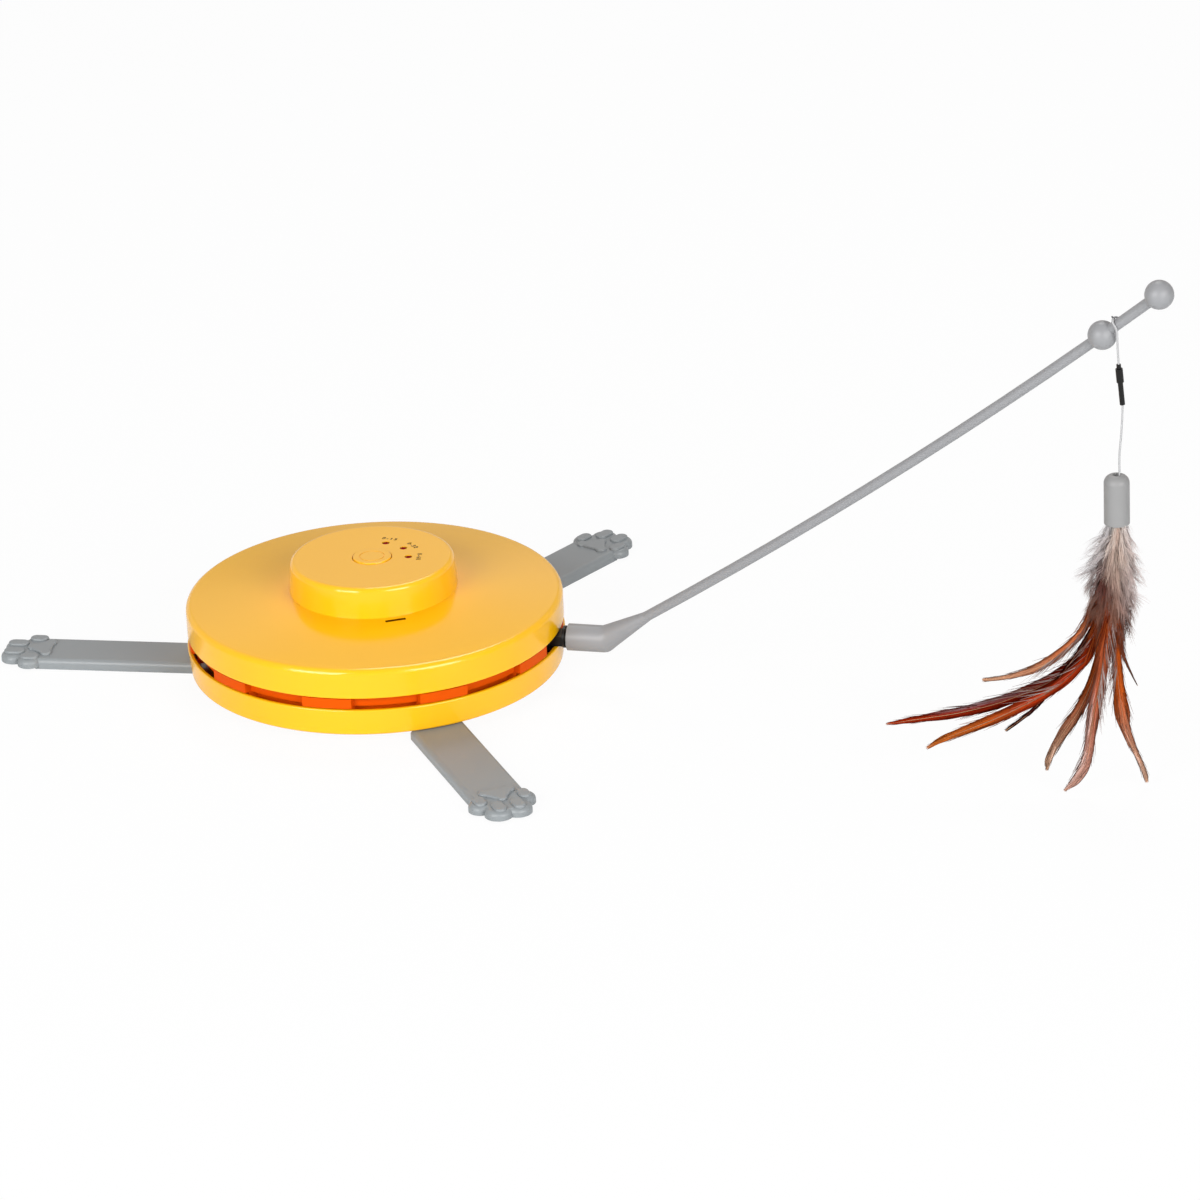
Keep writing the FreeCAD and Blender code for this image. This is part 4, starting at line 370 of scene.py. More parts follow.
class Finishes:
    """Every finish of the toy, built once and fetched by name."""

    # ABS from a polished mould: deep warm yellow with long soft glare.
    YELLOW_SHELL = MouldedPlastic("abs_gloss_yellow_shell", "f8b904", "f5b503", 0.15)
    # The top's yellow also carries painted shade on the walls of the slit near the hub.
    YELLOW_TOP = SlitPlastic("abs_gloss_yellow_top", "f8b904", "f5b503", 0.15)
    YELLOW_HUB = MouldedPlastic("abs_gloss_yellow_hub", "fab904", "f7b603", 0.13)
    # ABS from a grained mould: dull grey whose grain shows under a low light.
    GREY_LEG = MouldedPlastic("abs_satin_grey_leg", "888d90", "84898b", 0.4, 0.35, 0.01)
    # ABS without polish, deep inside the slot: orange that mirrors nothing.
    ORANGE_DRUM = MouldedPlastic("abs_orange_drum", "dc5400", "d24c00", 0.5, ior=1.15)
    # Satin ABS: the light spreads softly along the arm, the rod and the cap.
    BLACK = MouldedPlastic("abs_satin_black", "080808", "0c0c0c", 0.4, ior=1.36)
    GREY = MouldedPlastic("abs_satin_grey", "8c8d90", "88898b", 0.42, 0.8, 0.003)
    GREY_CAP = MouldedPlastic("abs_satin_grey_cap", "8a8a8a", "868686", 0.5, 0.8, 0.003)
    # Acetal as it comes: the waxy off-white of gears and bushes.
    NATURAL = MouldedPlastic("acetal_natural", "e8e4d6", "e0dccc", 0.4)
    # Unlit lamps of red epoxy and the print beside them: small, dark and flat.
    LAMP = MouldedPlastic("epoxy_red_lamp", "840408", "760406", 0.5, ior=1.15)
    INK = MouldedPlastic("pad_print_brown_ink", "180c04", "140a04", 0.6, ior=1.15)
    # The inner parts: lacquered board, foil round the cells, rubber seal and soft wires.
    BOARD = MouldedPlastic("laminate_green_board", "1c6a3a", "185f34", 0.3, coat=0.4)
    JACKET = MouldedPlastic("foil_jacket_cell", "2a2c34", "24262e", 0.3, coat=0.3)
    RUBBER = MouldedPlastic("nitrile_black_seal", "0f0f0f", "131313", 0.7)
    WIRE_RED = MouldedPlastic("pvc_red_wire", "a81410", "9c120e", 0.45)
    WIRE_BLACK = MouldedPlastic("pvc_black_wire", "121212", "161616", 0.45)
    # Cold bluish screws, warm bright springs and a greyer drawn can.
    SCREW = PlatedSteel("steel_zinc_plated", "c2c2c6", 0.32)
    SPRING = PlatedSteel("steel_nickel_plated", "d2cec4", 0.22)
    MOTOR = PlatedSteel("steel_motor_can", "b4b4b8", 0.3, 0.4)
    # The string is pale all along. Its end at the knot is painted dark grey for the shade of its fibres.
    STRING = TwistedString("cotton_white_string", "b0b0b1", "aaaaab")
    KNOT_END = TwistedString("cotton_knot_end_painted_shade", "5c5c60", "3c3c3e")
    # Long barbs keep a faint silk sheen. Down has none and glows where light comes from behind.
    HACKLE = Plume("hackle_dyed_barbs", 0.45, 0.04, 1.1)
    DOWN = Plume("down_soft_barbs", 0.85, 0.3, 1.35)

    _built: dict[str, bpy.types.Material] = {}

    @classmethod
    def get(cls, finish: MouldedPlastic | PlatedSteel | TwistedString | Plume) -> bpy.types.Material:
        """Returns the material of a finish, and builds it the first time.

        Args:
            finish: the finish.

        Returns:
            Its material.
        """
        if finish.name not in cls._built:
            cls._built[finish.name] = finish.build()
        return cls._built[finish.name]


def new_object(name: str, data: bpy.types.ID) -> bpy.types.Object:
    """Puts a new object in the scene.

    Args:
        name: the object's name.
        data: its mesh, curve, lamp or camera.

    Returns:
        The new object.
    """
    item = bpy.data.objects.new(name, data)
    bpy.context.scene.collection.objects.link(item)
    return item


def mesh_piece(name: str, vertices: Sequence[Point], faces: Sequence[Sequence[int]],
               smooth: bool = True) -> bpy.types.Object:
    """Makes an object with a mesh.

    Args:
        name: the object's name.
        vertices: places in metres.
        faces: numbers of each face's vertices.
        smooth: whether the faces are shaded smooth.

    Returns:
        The new object.
    """
    mesh = bpy.data.meshes.new(name)
    mesh.from_pydata(vertices, [], faces)
    mesh.update()
    mesh.polygons.foreach_set("use_smooth", [smooth] * len(mesh.polygons))
    return new_object(name, mesh)


def report(piece: bpy.types.Object, words: str) -> None:
    """Logs a finished piece."""
    LOG.info("%s: %s", piece.name, words)


@dataclass(frozen=True)
class SoftBox:
    """One square soft box that faces a target. Places and the side are in metres, the power in watts."""

    name: str
    spot: Point
    side: float
    power: float
    target: Point

    def build(self) -> None:
        """Adds the lamp."""
        data = bpy.data.lights.new(self.name, "AREA")
        data.shape = "SQUARE"
        data.size = self.side
        data.energy = self.power
        item = new_object(self.name, data)
        item.location = self.spot
        aim = Vector(self.target) - Vector(self.spot)
        item.rotation_euler = aim.to_track_quat("-Z", "Y").to_euler()


@dataclass
class Studio:
    """White sweep, soft boxes and the camera of the photograph.

    Lengths are in metres, angles in radians and places in the photograph in pixels. The camera's distance is
    told in radii of the toy's base. centre_px is where the photograph shows the point that aim gives.
    """

    focal_px: float = 6300.0
    distance_radii: float = 33.52309
    base_radius: float = 0.095
    pitch: float = 0.41112
    roll: float = -0.0432
    centre_px: tuple[float, float] = (377.89215, 657.20185)
    frame_px: float = 1200.0
    sensor: float = 36.0
    view_end: float = 50.0
    aim: Point = (0.0, 0.0, 0.0059)
    # The floor shows white to the camera and in gloss, by these shares, and is paper to all other light.
    floor_half: float = 3.0
    floor_white: float = 0.94
    floor_mirrored: float = 0.5
    room_light: float = 0.22
    # A soft noise paints the walls that gloss mirrors: its values, and how bright they make the walls.
    wall_scale: float = 3.2
    wall_fields: tuple[float, float] = (0.35, 0.65)
    wall_lights: tuple[float, float] = (0.55, 1.15)
    boxes: tuple[SoftBox, ...] = (
        SoftBox("left_box", (-1.5, -2.1, 1.15), 1.5, 62.0, (0.1, 0.0, 0.06)),
        SoftBox("right_box", (1.6, -2.2, 1.1), 1.5, 56.0, (0.1, 0.0, 0.06)),
        SoftBox("rim_box", (0.3, 1.2, 1.9), 0.9, 13.0, (0.1, 0.0, 0.04)),
    )

    def camera(self) -> None:
        """Creates the camera at the photograph's place."""
        distance = self.distance_radii * self.base_radius
        right = Vector((1, 0, 0))
        forward = Vector((0, math.cos(self.pitch), -math.sin(self.pitch)))
        up = Vector((0, math.sin(self.pitch), math.cos(self.pitch)))
        side = right * math.cos(self.roll) + up * math.sin(self.roll)
        top = up * math.cos(self.roll) - right * math.sin(self.roll)
        half = self.frame_px / 2
        across = (self.centre_px[0] - half) / self.focal_px * distance
        rise = -(self.centre_px[1] - half) / self.focal_px * distance
        spot = Vector(self.aim) - side * across - top * rise - forward * distance
        data = bpy.data.cameras.new("photo_camera")
        data.sensor_width = self.sensor
        data.lens = self.focal_px / self.frame_px * self.sensor
        data.clip_end = self.view_end
        item = new_object("photo_camera", data)
        turn = Matrix((side, top, -forward)).transposed().to_4x4()
        item.matrix_world = Matrix.Translation(spot) @ turn
        bpy.context.scene.camera = item

    def floor(self) -> None:
        """Adds the floor, which shows white but keeps a soft shadow."""
        half = self.floor_half
        corners = [(-half, -half, 0.0), (half, -half, 0.0), (half, half, 0.0), (-half, half, 0.0)]
        item = mesh_piece("studio_floor", corners, [(0, 1, 2, 3)], smooth=False)
        material, tree = new_material("paper_white_sweep")
        path = add_node(tree, "ShaderNodeLightPath").outputs
        card = add_node(tree, "ShaderNodeBsdfDiffuse", None, {"Color": linear("f4f4f4")})
        white = add_node(tree, "ShaderNodeEmission", None, {"Color": linear("ffffff"), "Strength": 1.0})
        seen = add_node(tree, "ShaderNodeMath", {"operation": "MULTIPLY"}, {
            0: path["Is Camera Ray"], 1: self.floor_white})
        mirrored = add_node(tree, "ShaderNodeMath", {"operation": "MULTIPLY"}, {
            0: path["Is Glossy Ray"], 1: self.floor_mirrored})
        share = add_node(tree, "ShaderNodeMath", {"operation": "MAXIMUM"}, {
            0: seen.outputs[0], 1: mirrored.outputs[0]})
        mix = add_node(tree, "ShaderNodeMixShader", None, {
            0: share.outputs[0], 1: card.outputs["BSDF"], 2: white.outputs["Emission"]})
        add_node(tree, "ShaderNodeOutputMaterial", None, {"Surface": mix.outputs["Shader"]})
        item.data.materials.append(material)

    def surroundings(self) -> None:
        """Adds the room: white to the camera, while gloss mirrors bright walls with soft darker fields."""
        world = bpy.data.worlds.new("studio_surroundings")
        bpy.context.scene.world = world
        world.use_nodes = True
        tree = world.node_tree
        tree.nodes.clear()
        path = add_node(tree, "ShaderNodeLightPath").outputs
        room = add_node(tree, "ShaderNodeBackground", None, {
            "Color": linear("ffffff"), "Strength": self.room_light})
        walls = add_node(tree, "ShaderNodeTexNoise", None, {
            "Vector": add_node(tree, "ShaderNodeTexCoord").outputs["Generated"], "Scale": self.wall_scale,
            "Detail": 1.0})
        level = add_node(tree, "ShaderNodeMapRange", None, {
            "Value": walls.outputs["Fac"], "From Min": self.wall_fields[0], "From Max": self.wall_fields[1],
            "To Min": self.wall_lights[0], "To Max": self.wall_lights[1]})
        mirrored = add_node(tree, "ShaderNodeBackground", None, {
            "Color": linear("fff4ee"), "Strength": level.outputs["Result"]})
        gloss = add_node(tree, "ShaderNodeMixShader", None, {
            0: path["Is Glossy Ray"], 1: room.outputs[0], 2: mirrored.outputs[0]})
        white = add_node(tree, "ShaderNodeBackground", None, {"Color": linear("ffffff"), "Strength": 1.0})
        mix = add_node(tree, "ShaderNodeMixShader", None, {
            0: path["Is Camera Ray"], 1: gloss.outputs[0], 2: white.outputs[0]})
        add_node(tree, "ShaderNodeOutputWorld", None, {"Surface": mix.outputs["Shader"]})

    def build(self) -> None:
        """Sets up camera, floor and light."""
        bpy.context.scene.view_settings.view_transform = "Standard"
        self.camera()
        self.floor()
        self.surroundings()
        for box in self.boxes:
            box.build()
        LOG.info("studio: camera, floor and %d soft boxes", len(self.boxes))


@dataclass
class CarriedNodes:
    """The CAD nodes, shown as they are, with their curved faces smoothed and their finishes.

    finishes names the nodes of each finish. All others are screws and pins of plated steel.
    """

    finishes: dict = field(default_factory=lambda: {
        Finishes.YELLOW_SHELL: ("lower_housing", "bottom_cover", "battery_door"),
        Finishes.YELLOW_TOP: ("upper_housing",),
        Finishes.YELLOW_HUB: ("hub_cap", "power_button"),
        Finishes.GREY_LEG: ("paw_leg_back", "paw_leg_left", "paw_leg_front"),
        Finishes.ORANGE_DRUM: ("turntable",),
        Finishes.GREY: ("wand",),
        Finishes.GREY_CAP: ("feather_cap",),
        Finishes.BLACK: ("wand_arm", "swivel_bush", "string_clasp", "tact_switch", "switch_plunger"),
        Finishes.LAMP: ("indicator_lamps",),
        Finishes.BOARD: ("control_board",),
        Finishes.JACKET: ("battery_cells",),
        Finishes.RUBBER: ("o_ring",),
        Finishes.WIRE_RED: ("battery_lead_red",),
        Finishes.WIRE_BLACK: ("battery_lead_black", "motor_leads"),
        Finishes.MOTOR: ("motor", "motor_shaft"),
        Finishes.SPRING: ("battery_contacts", "contact_springs"),
        Finishes.NATURAL: ("centre_column", "thrust_washer", "rotor_bush", "ring_gear", "gearbox_base",
                           "gearbox_top", "gear_one", "gear_two", "motor_pinion"),
    })
    crease: float = math.radians(32)
    same_place: float = 0.000002

    def dress(self) -> None:
        """Gives every node its finish and smooth curved faces."""
        finish_of = {name: finish for finish, names in self.finishes.items() for name in names}
        for name, item in frame["nodes"].items():
            item.data.materials.clear()
            item.data.materials.append(Finishes.get(finish_of.get(name, Finishes.SCREW)))
            item.data.polygons.foreach_set("use_smooth", [True] * len(item.data.polygons))
            weld = item.modifiers.new("join_triangles", "WELD")
            weld.merge_threshold = self.same_place
            split = item.modifiers.new("keep_edges", "EDGE_SPLIT")
            split.split_angle = self.crease
            flat = item.modifiers.new("flat_faces", "WEIGHTED_NORMAL")
            flat.keep_sharp = True
        LOG.info("carried nodes: %d dressed", len(frame["nodes"]))


def joint_place(name: str) -> tuple[Vector, Vector]:
    """Finds a joint of the frame.

    Args:
        name: the joint's name.

    Returns:
        Its place and its axis.
    """
    for joint in frame["record"]["behaviour"]["joints"]:
        if joint["name"] == name:
            return Vector(joint["pos_m"]), Vector(joint["axis"]).normalized()
    raise KeyError(name)


def smooth_line(points: Sequence[Vector], steps: int) -> list[Vector]:
    """Returns a smooth line through points.

    Args:
        points: the points that the line passes.
        steps: pieces between one point and the next.

    Returns:
        The points of the line, first and last included.
    """
    ends = [points[0] * 2 - points[1], *points, points[-1] * 2 - points[-2]]
    line = []
    for before, start, stop, after in zip(ends, ends[1:], ends[2:], ends[3:]):
        for step in range(steps):
            share = step / steps
            into, out = (stop - before) / 2, (after - start) / 2
            square, cube = share ** 2, share ** 3
            line.append(start * (2 * cube - 3 * square + 1) + into * (cube - 2 * square + share)
                        + stop * (3 * square - 2 * cube) + out * (cube - square))
    line.append(points[-1].copy())
    return line


def tube_faces(rings: int, sides: int) -> list[tuple[int, ...]]:
    """Joins rings of vertices to a closed tube.

    Args:
        rings: number of rings.
        sides: vertices in each ring.

    Returns:
        The faces: the wall between the rings and both ends.
    """
    faces = []
    for ring in range(rings - 1):
        for side in range(sides):
            after = (side + 1) % sides
            low, high = ring * sides, (ring + 1) * sides
            faces.append((low + side, low + after, high + after, high + side))
    faces.append(tuple(reversed(range(sides))))
    faces.append(tuple(range((rings - 1) * sides, rings * sides)))
    return faces


def tube(line: Sequence[Vector], radii: Sequence[float], sides: int) -> tuple[list[Vector], list[tuple]]:
    """Makes a closed round tube.

    Args:
        line: points of its centre line.
        radii: its radius at each point.
        sides: vertices in each ring.

    Returns:
        Vertices and faces.
    """
    vertices = []
    for number, (spot, radius) in enumerate(zip(line, radii)):
        before, after = line[max(0, number - 1)], line[min(len(line) - 1, number + 1)]
        turn = (after - before).to_track_quat("Z", "Y")
        for side in range(sides):
            angle = 2 * math.pi * side / sides
            vertices.append(spot + turn @ Vector((math.cos(angle) * radius, math.sin(angle) * radius, 0)))
    return vertices, tube_faces(len(line), sides)


@dataclass(frozen=True)
class Strings:
    """The white strings from the rod to the clasp and from the clasp into the cap.

    All points are in millimetres from the knot's place on the rod's axis. The points of the loop and of the
    knot's end lie in the plane square to the rod: the distance across the rod and the height over its axis.
    past_knot moves them along the rod.
    """

    radius: float = 0.5
    loop: tuple = ((-3.2, -1.4), (-3.4, 1.2), (-1.6, 3.6), (3.3, 3.3))
    hang: tuple = ((-0.3, -3.65, -1.2), (-0.1, -2.3, -6.0), (0.1, -1.0, -11.0), (0.4, -0.3, -15.5),
                   (0.6, 0.0, -19.75), (0.8, 0.0, -23.0), (1.0, 0.0, -26.2))
    past_knot: float = 1.0
    tail: tuple = ((2.35, -40.2), (2.2, -47.0), (1.5, -57.0), (0.6, -66.0), (0.7, -74.9), (0.55, -78.97))
    upper_length: float = 41.6
    lower_length: float = 38.8
    knot_end: tuple = ((0.6, 3.2), (0.8, 3.8), (0.9, 4.4))
    end_swell: float = 1.25
    end_fall: float = 0.5

    def curve(self, name: str, points: Sequence[Vector]) -> bpy.types.Object:
        """Makes a round string.

        Args:
            name: the string's name.
            points: its route in metres.

        Returns:
            The string.
        """
        data = bpy.data.curves.new(name, "CURVE")
        data.dimensions = "3D"
        spline = data.splines.new("NURBS")
        spline.points.add(len(points) - 1)
        for item, spot in zip(spline.points, points):
            item.co = (*spot, 1.0)
        spline.order_u = 3
        spline.use_endpoint_u = True
        data.resolution_u = 16
        data.bevel_depth = self.radius * MM
        data.bevel_resolution = 4
        data.use_fill_caps = True
        data.materials.append(Finishes.get(Finishes.STRING))
        return new_object(name, data)

    def build(self) -> None:
        knot, rod = joint_place("lure_swing")
        rod = rod if rod.x > 0 else -rod
        across = Vector((rod.y, -rod.x, 0)).normalized()
        over = across.cross(rod).normalized()
        over = over if over.z > 0 else -over
        start = knot + rod * self.past_knot * MM
        loop, ends = ([start + (across * offset + over * height) * MM for offset, height in places]
                      for places in (self.loop, self.knot_end))
        loop += [knot + Vector(place) * MM for place in self.hang]
        upper = self.curve("white_string_upper", loop)
        tail = [knot + Vector((x, 0, z)) * MM for x, z in self.tail]
        lower = self.curve("white_string_lower", tail)
        line = smooth_line(ends, 6)
        radii = [self.radius * MM * (self.end_swell - self.end_fall * number / len(line))
                 for number in range(len(line))]
        end = mesh_piece("string_knot_end", *tube(line, radii, 10))
        # The knot's end takes the darker finish: painted shade.
        end.data.materials.append(Finishes.get(Finishes.KNOT_END))
        for piece in (upper, lower, end):
            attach(piece, Body.LURE.value)
        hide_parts("upper_string")
        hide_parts("lower_string")
        report(upper, "tied round the rod")
        report(lower, "from the clasp into the cap")


@dataclass(frozen=True)
class Scale:
    """Plain numbers printed on the hub's top, one outside each lamp. Sizes are in millimetres."""

    azimuths: tuple[float, ...] = (68.6, 31.4, -5.8)
    words: tuple[str, ...] = ("0-15", "0-30", "0-60")
    ring: float = 22.7
    height: float = 3.3
    boldness: float = 0.09
    spacing: float = 1.4
    lift: float = 0.03

    def build(self) -> None:
        """Makes the numbers as flat print that follows the lamps' ring."""
        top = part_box("hub_cap")[1][2]
        for number, (azimuth, word) in enumerate(zip(self.azimuths, self.words)):
            data = bpy.data.curves.new(f"number_{number}", "FONT")
            data.body = word
            data.size = self.height * MM
            data.align_x = "CENTER"
            data.resolution_u = 4
            data.offset = self.boldness * MM
            data.space_character = self.spacing
            source = new_object(f"number_{number}_curve", data)
            graph = bpy.context.evaluated_depsgraph_get()
            mesh = bpy.data.meshes.new_from_object(source.evaluated_get(graph))
            out = Vector((math.cos(math.radians(azimuth)), math.sin(math.radians(azimuth)), 0))
            along = Vector((out.y, -out.x, 0))
            place = Matrix((along, out, Vector((0, 0, 1)))).transposed().to_4x4()
            place.translation = out * self.ring * MM + Vector((0, 0, top + self.lift * MM))
            mesh.transform(place)
            mesh.materials.clear()
            mesh.materials.append(Finishes.get(Finishes.INK))
            bpy.data.objects.remove(source)
            piece = new_object(f"lamp_number_{number}", mesh)
            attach(piece, Body.BASE.value)
            report(piece, word)


def barb_tree() -> bpy.types.NodeTree:
    """Builds the node tree that grows one barb on each point of a mesh.

    Each point holds where its barb aims, which way is up and its length, breadth and lift. The tree's inputs
    are the barb, the solid core that the barbs stand on, and the finish.

    Returns:
        The tree.
    """
    tree = bpy.data.node_groups.new("grow_barbs", "GeometryNodeTree")
    for name, way, kind in (("Points", "INPUT", "Geometry"), ("Barb", "INPUT", "Object"),
                            ("Core", "INPUT", "Object"), ("Finish", "INPUT", "Material"),
                            ("Feather", "OUTPUT", "Geometry")):
        tree.interface.new_socket(name, in_out=way, socket_type="NodeSocket" + kind)
    given = add_node(tree, "NodeGroupInput").outputs
    barb = add_node(tree, "GeometryNodeObjectInfo", None, {"Object": given["Barb"]})
    core = add_node(tree, "GeometryNodeObjectInfo", None, {"Object": given["Core"]})
    aim, up, size = (
        add_node(tree, "GeometryNodeInputNamedAttribute", {"data_type": "FLOAT_VECTOR"},
                 {"Name": word}).outputs["Attribute"]
        for word in BarbField.vectors)
    turn = add_node(tree, "FunctionNodeAxesToRotation", {"primary_axis": "X", "secondary_axis": "Z"}, {
        "Primary Axis": aim, "Secondary Axis": up})
    grown = add_node(tree, "GeometryNodeInstanceOnPoints", None, {
        "Points": given["Points"], "Instance": barb.outputs["Geometry"], "Rotation": turn.outputs["Rotation"],
        "Scale": size})
    real = add_node(tree, "GeometryNodeRealizeInstances", None, {"Geometry": grown.outputs["Instances"]})
    joined = add_node(tree, "GeometryNodeJoinGeometry", None, {"Geometry": core.outputs["Geometry"]})
    tree.links.new(real.outputs["Geometry"], joined.inputs["Geometry"])
    done = add_node(tree, "GeometryNodeSetMaterial", None, {
        "Geometry": joined.outputs["Geometry"], "Material": given["Finish"]})
    add_node(tree, "NodeGroupOutput", None, {"Feather": done.outputs["Geometry"]})
    return tree


def set_inputs(modifier: bpy.types.Modifier, values: dict) -> None:
    """Sets a geometry modifier's inputs by their names.

    Args:
        modifier: the modifier.
        values: the value of each named input.
    """
    for item in modifier.node_group.interface.items_tree:
        if item.name in values:
            modifier[item.identifier] = values[item.name]


def paint(mesh: bpy.types.Mesh, colours: Sequence[Colour]) -> None:
    """Stores a dye colour on each vertex of a mesh."""
    store = mesh.attributes.new("dye", "FLOAT_COLOR", "POINT")
    store.data.foreach_set("color", [value for colour in colours for value in colour])


@dataclass
class BarbField:
    """Barbs that wait to be grown as one piece."""

    vectors: ClassVar[tuple[str, ...]] = ("aim", "up", "size")
    roots: list = field(default_factory=list)
    aims: list = field(default_factory=list)
    ups: list = field(default_factory=list)
    sizes: list = field(default_factory=list)
    dyes: list = field(default_factory=list)

    def add(self, root: Vector, tip: Vector, up: Vector, breadth: float, lift: float, dye: tuple) -> None:
        """Adds one barb.

        Args:
            root: where it starts, in metres.
            tip: where it ends, in metres.
            up: the way that its flat side faces.
            breadth: its breadth at the root, in metres.
            lift: how far its middle bows towards up, in metres.
            dye: its linear colour.
        """
        self.roots.append(root)
        self.aims.append((tip - root).normalized())
        self.ups.append(up)
        self.sizes.append(Vector(((tip - root).length, breadth, lift)))
        self.dyes.append(dye)

    @staticmethod
    def barb(stations: int = 5) -> bpy.types.Object:
        """Makes one barb of unit length, breadth and lift: a strip that bows and narrows to its tip.

        Args:
            stations: pairs of vertices along it.

        Returns:
            The barb.
        """
        vertices, faces = [], []
        for number in range(stations):
            share = number / (stations - 1)
            half = 0.5 * (1 - 0.75 * share ** 2)
            lift = 4 * share * (1 - share)
            vertices += [(share, -half, lift), (share, half, lift)]
        for number in range(stations - 1):
            low = 2 * number
            faces.append((low, low + 2, low + 3, low + 1))
        return mesh_piece("one_barb", vertices, faces)

    def grow(self, name: str, core: bpy.types.Object, finish: Plume) -> bpy.types.Object:
        """Grows the barbs on their core.

        Args:
            name: the piece's name.
            core: the solid that the barbs stand on. It becomes part of the piece.
            finish: the finish of both.

        Returns:
            The piece, as one plain mesh.
        """
        source = bpy.data.meshes.new(name + "_points")
        source.from_pydata(self.roots, [], [])
        for word, values in zip(self.vectors, (self.aims, self.ups, self.sizes)):
            store = source.attributes.new(word, "FLOAT_VECTOR", "POINT")
            store.data.foreach_set("vector", [value for vector in values for value in vector])
        paint(source, self.dyes)
        points = new_object(name + "_points", source)
        barb = self.barb()
        modifier = points.modifiers.new("grow_barbs", "NODES")
        modifier.node_group = barb_tree()
        set_inputs(modifier, {"Barb": barb, "Core": core, "Finish": Finishes.get(finish)})
        grown = points.evaluated_get(bpy.context.evaluated_depsgraph_get())
        piece = new_object(name, bpy.data.meshes.new_from_object(grown))
        for word in self.vectors:
            if word in piece.data.attributes:
                piece.data.attributes.remove(piece.data.attributes[word])
        piece.data.polygons.foreach_set("use_smooth", [True] * len(piece.data.polygons))
        for helper in (points, barb, core):
            bpy.data.objects.remove(helper)
        return piece


class Quill:
    """A feather's centre line, read by the distance from its root."""

    def __init__(self, points: Sequence[Vector]) -> None:
        """Smooths the line and measures it.

        Args:
            points: the points that it passes, in metres.
        """
        self.line = smooth_line(points, 16)
        self.marks = [0.0]
        for before, after in zip(self.line, self.line[1:]):
            self.marks.append(self.marks[-1] + (after - before).length)

    @property
    def length(self) -> float:
        """The whole length in metres."""
        return self.marks[-1]

    def at(self, distance: float) -> tuple[Vector, Vector, Vector]:
        """Reads the line at a distance.

        Args:
            distance: metres from the root, held within the line.

        Returns:
            The place, the sideways direction and the direction that the feather's face looks in.
        """
        distance = min(max(distance, 0.0), self.length * 0.9999)
        number = next(i for i, mark in enumerate(self.marks) if mark > distance)
        low, high = self.marks[number - 1], self.marks[number]
        start, stop = self.line[number - 1], self.line[number]
        spot = start.lerp(stop, (distance - low) / (high - low))
        tangent = (stop - start).normalized()
        side = tangent.cross(Vector((0, 1, 0))).normalized()
        return spot, side, side.cross(tangent).normalized()


@dataclass(frozen=True)
class Hackle:
    """One long feather.

    widths holds shares of the length and the width there, root is its start in the cap as X and the distance
    towards the viewer, and quill holds points as X, distance towards the viewer and depth below the knot, all
    in millimetres. colours are those of the root end, the middle and the tip. streak is a pale stripe: its
    colour, its place across the vane from -1 to 1, and the shares of the length where it starts and stops.
    loose are the single barbs that stand off: the shares where they start and stop, their side and number.
    """

    widths: tuple
    root: tuple[float, float]
    quill: tuple
    colours: tuple[str, str, str]
    streak: tuple[str, float, float, float]
    loose: tuple[float, float, int, int]

    @property
    def widest(self) -> float:
        """The greatest width in millimetres."""
        return max(width for _, width in self.widths)

    def half_width(self, share: float) -> float:
        """Finds half of the width, which runs smoothly from one given width to the next.

        Args:
            share: share of the length.

        Returns:
            Half of the width in millimetres.
        """
        for (low, width), (high, width_on) in zip(self.widths, self.widths[1:]):
            if share <= high:
                part = max(0.0, (share - low) / (high - low))
                return (width + (width_on - width) * part * part * (3 - 2 * part)) / 2
        return self.widths[-1][1] / 2


@dataclass(frozen=True)
class LooseBarb:
    """One kind of separate barb.

    Sizes are in millimetres. lengths is the range of its run along the quill, lift how far its tip may
    stand before or behind the feather, and bow how far its middle bends. The higher dye_power is, the more
    often the first dye shows.
    """

    lengths: tuple[float, float]
    lift: float
    breadth: float
    bow: float
    dyes: tuple[str, str]
    dye_power: float


@dataclass
class FeatherWork:
    """What both kinds of feather share: one run of chance and places measured from the knot."""

    chance: random.Random

    def __post_init__(self) -> None:
        """Finds the knot."""
        self.knot = joint_place("lure_swing")[0]

    def spot(self, x: float, near: float, depth: float) -> Vector:
        """Returns a place given in millimetres from the knot."""
        return self.knot + Vector((x, -near, -depth)) * MM

    @staticmethod
    def tie(piece: bpy.types.Object, node: str, slot: str) -> None:
        """Ties a finished piece to the lure.

        Args:
            piece: the piece.
            node: the CAD node that it replaces.
            slot: not used.
        """
        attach(piece, Body.LURE.value)
        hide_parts(node)
        report(piece, f"{len(piece.data.polygons)} faces")


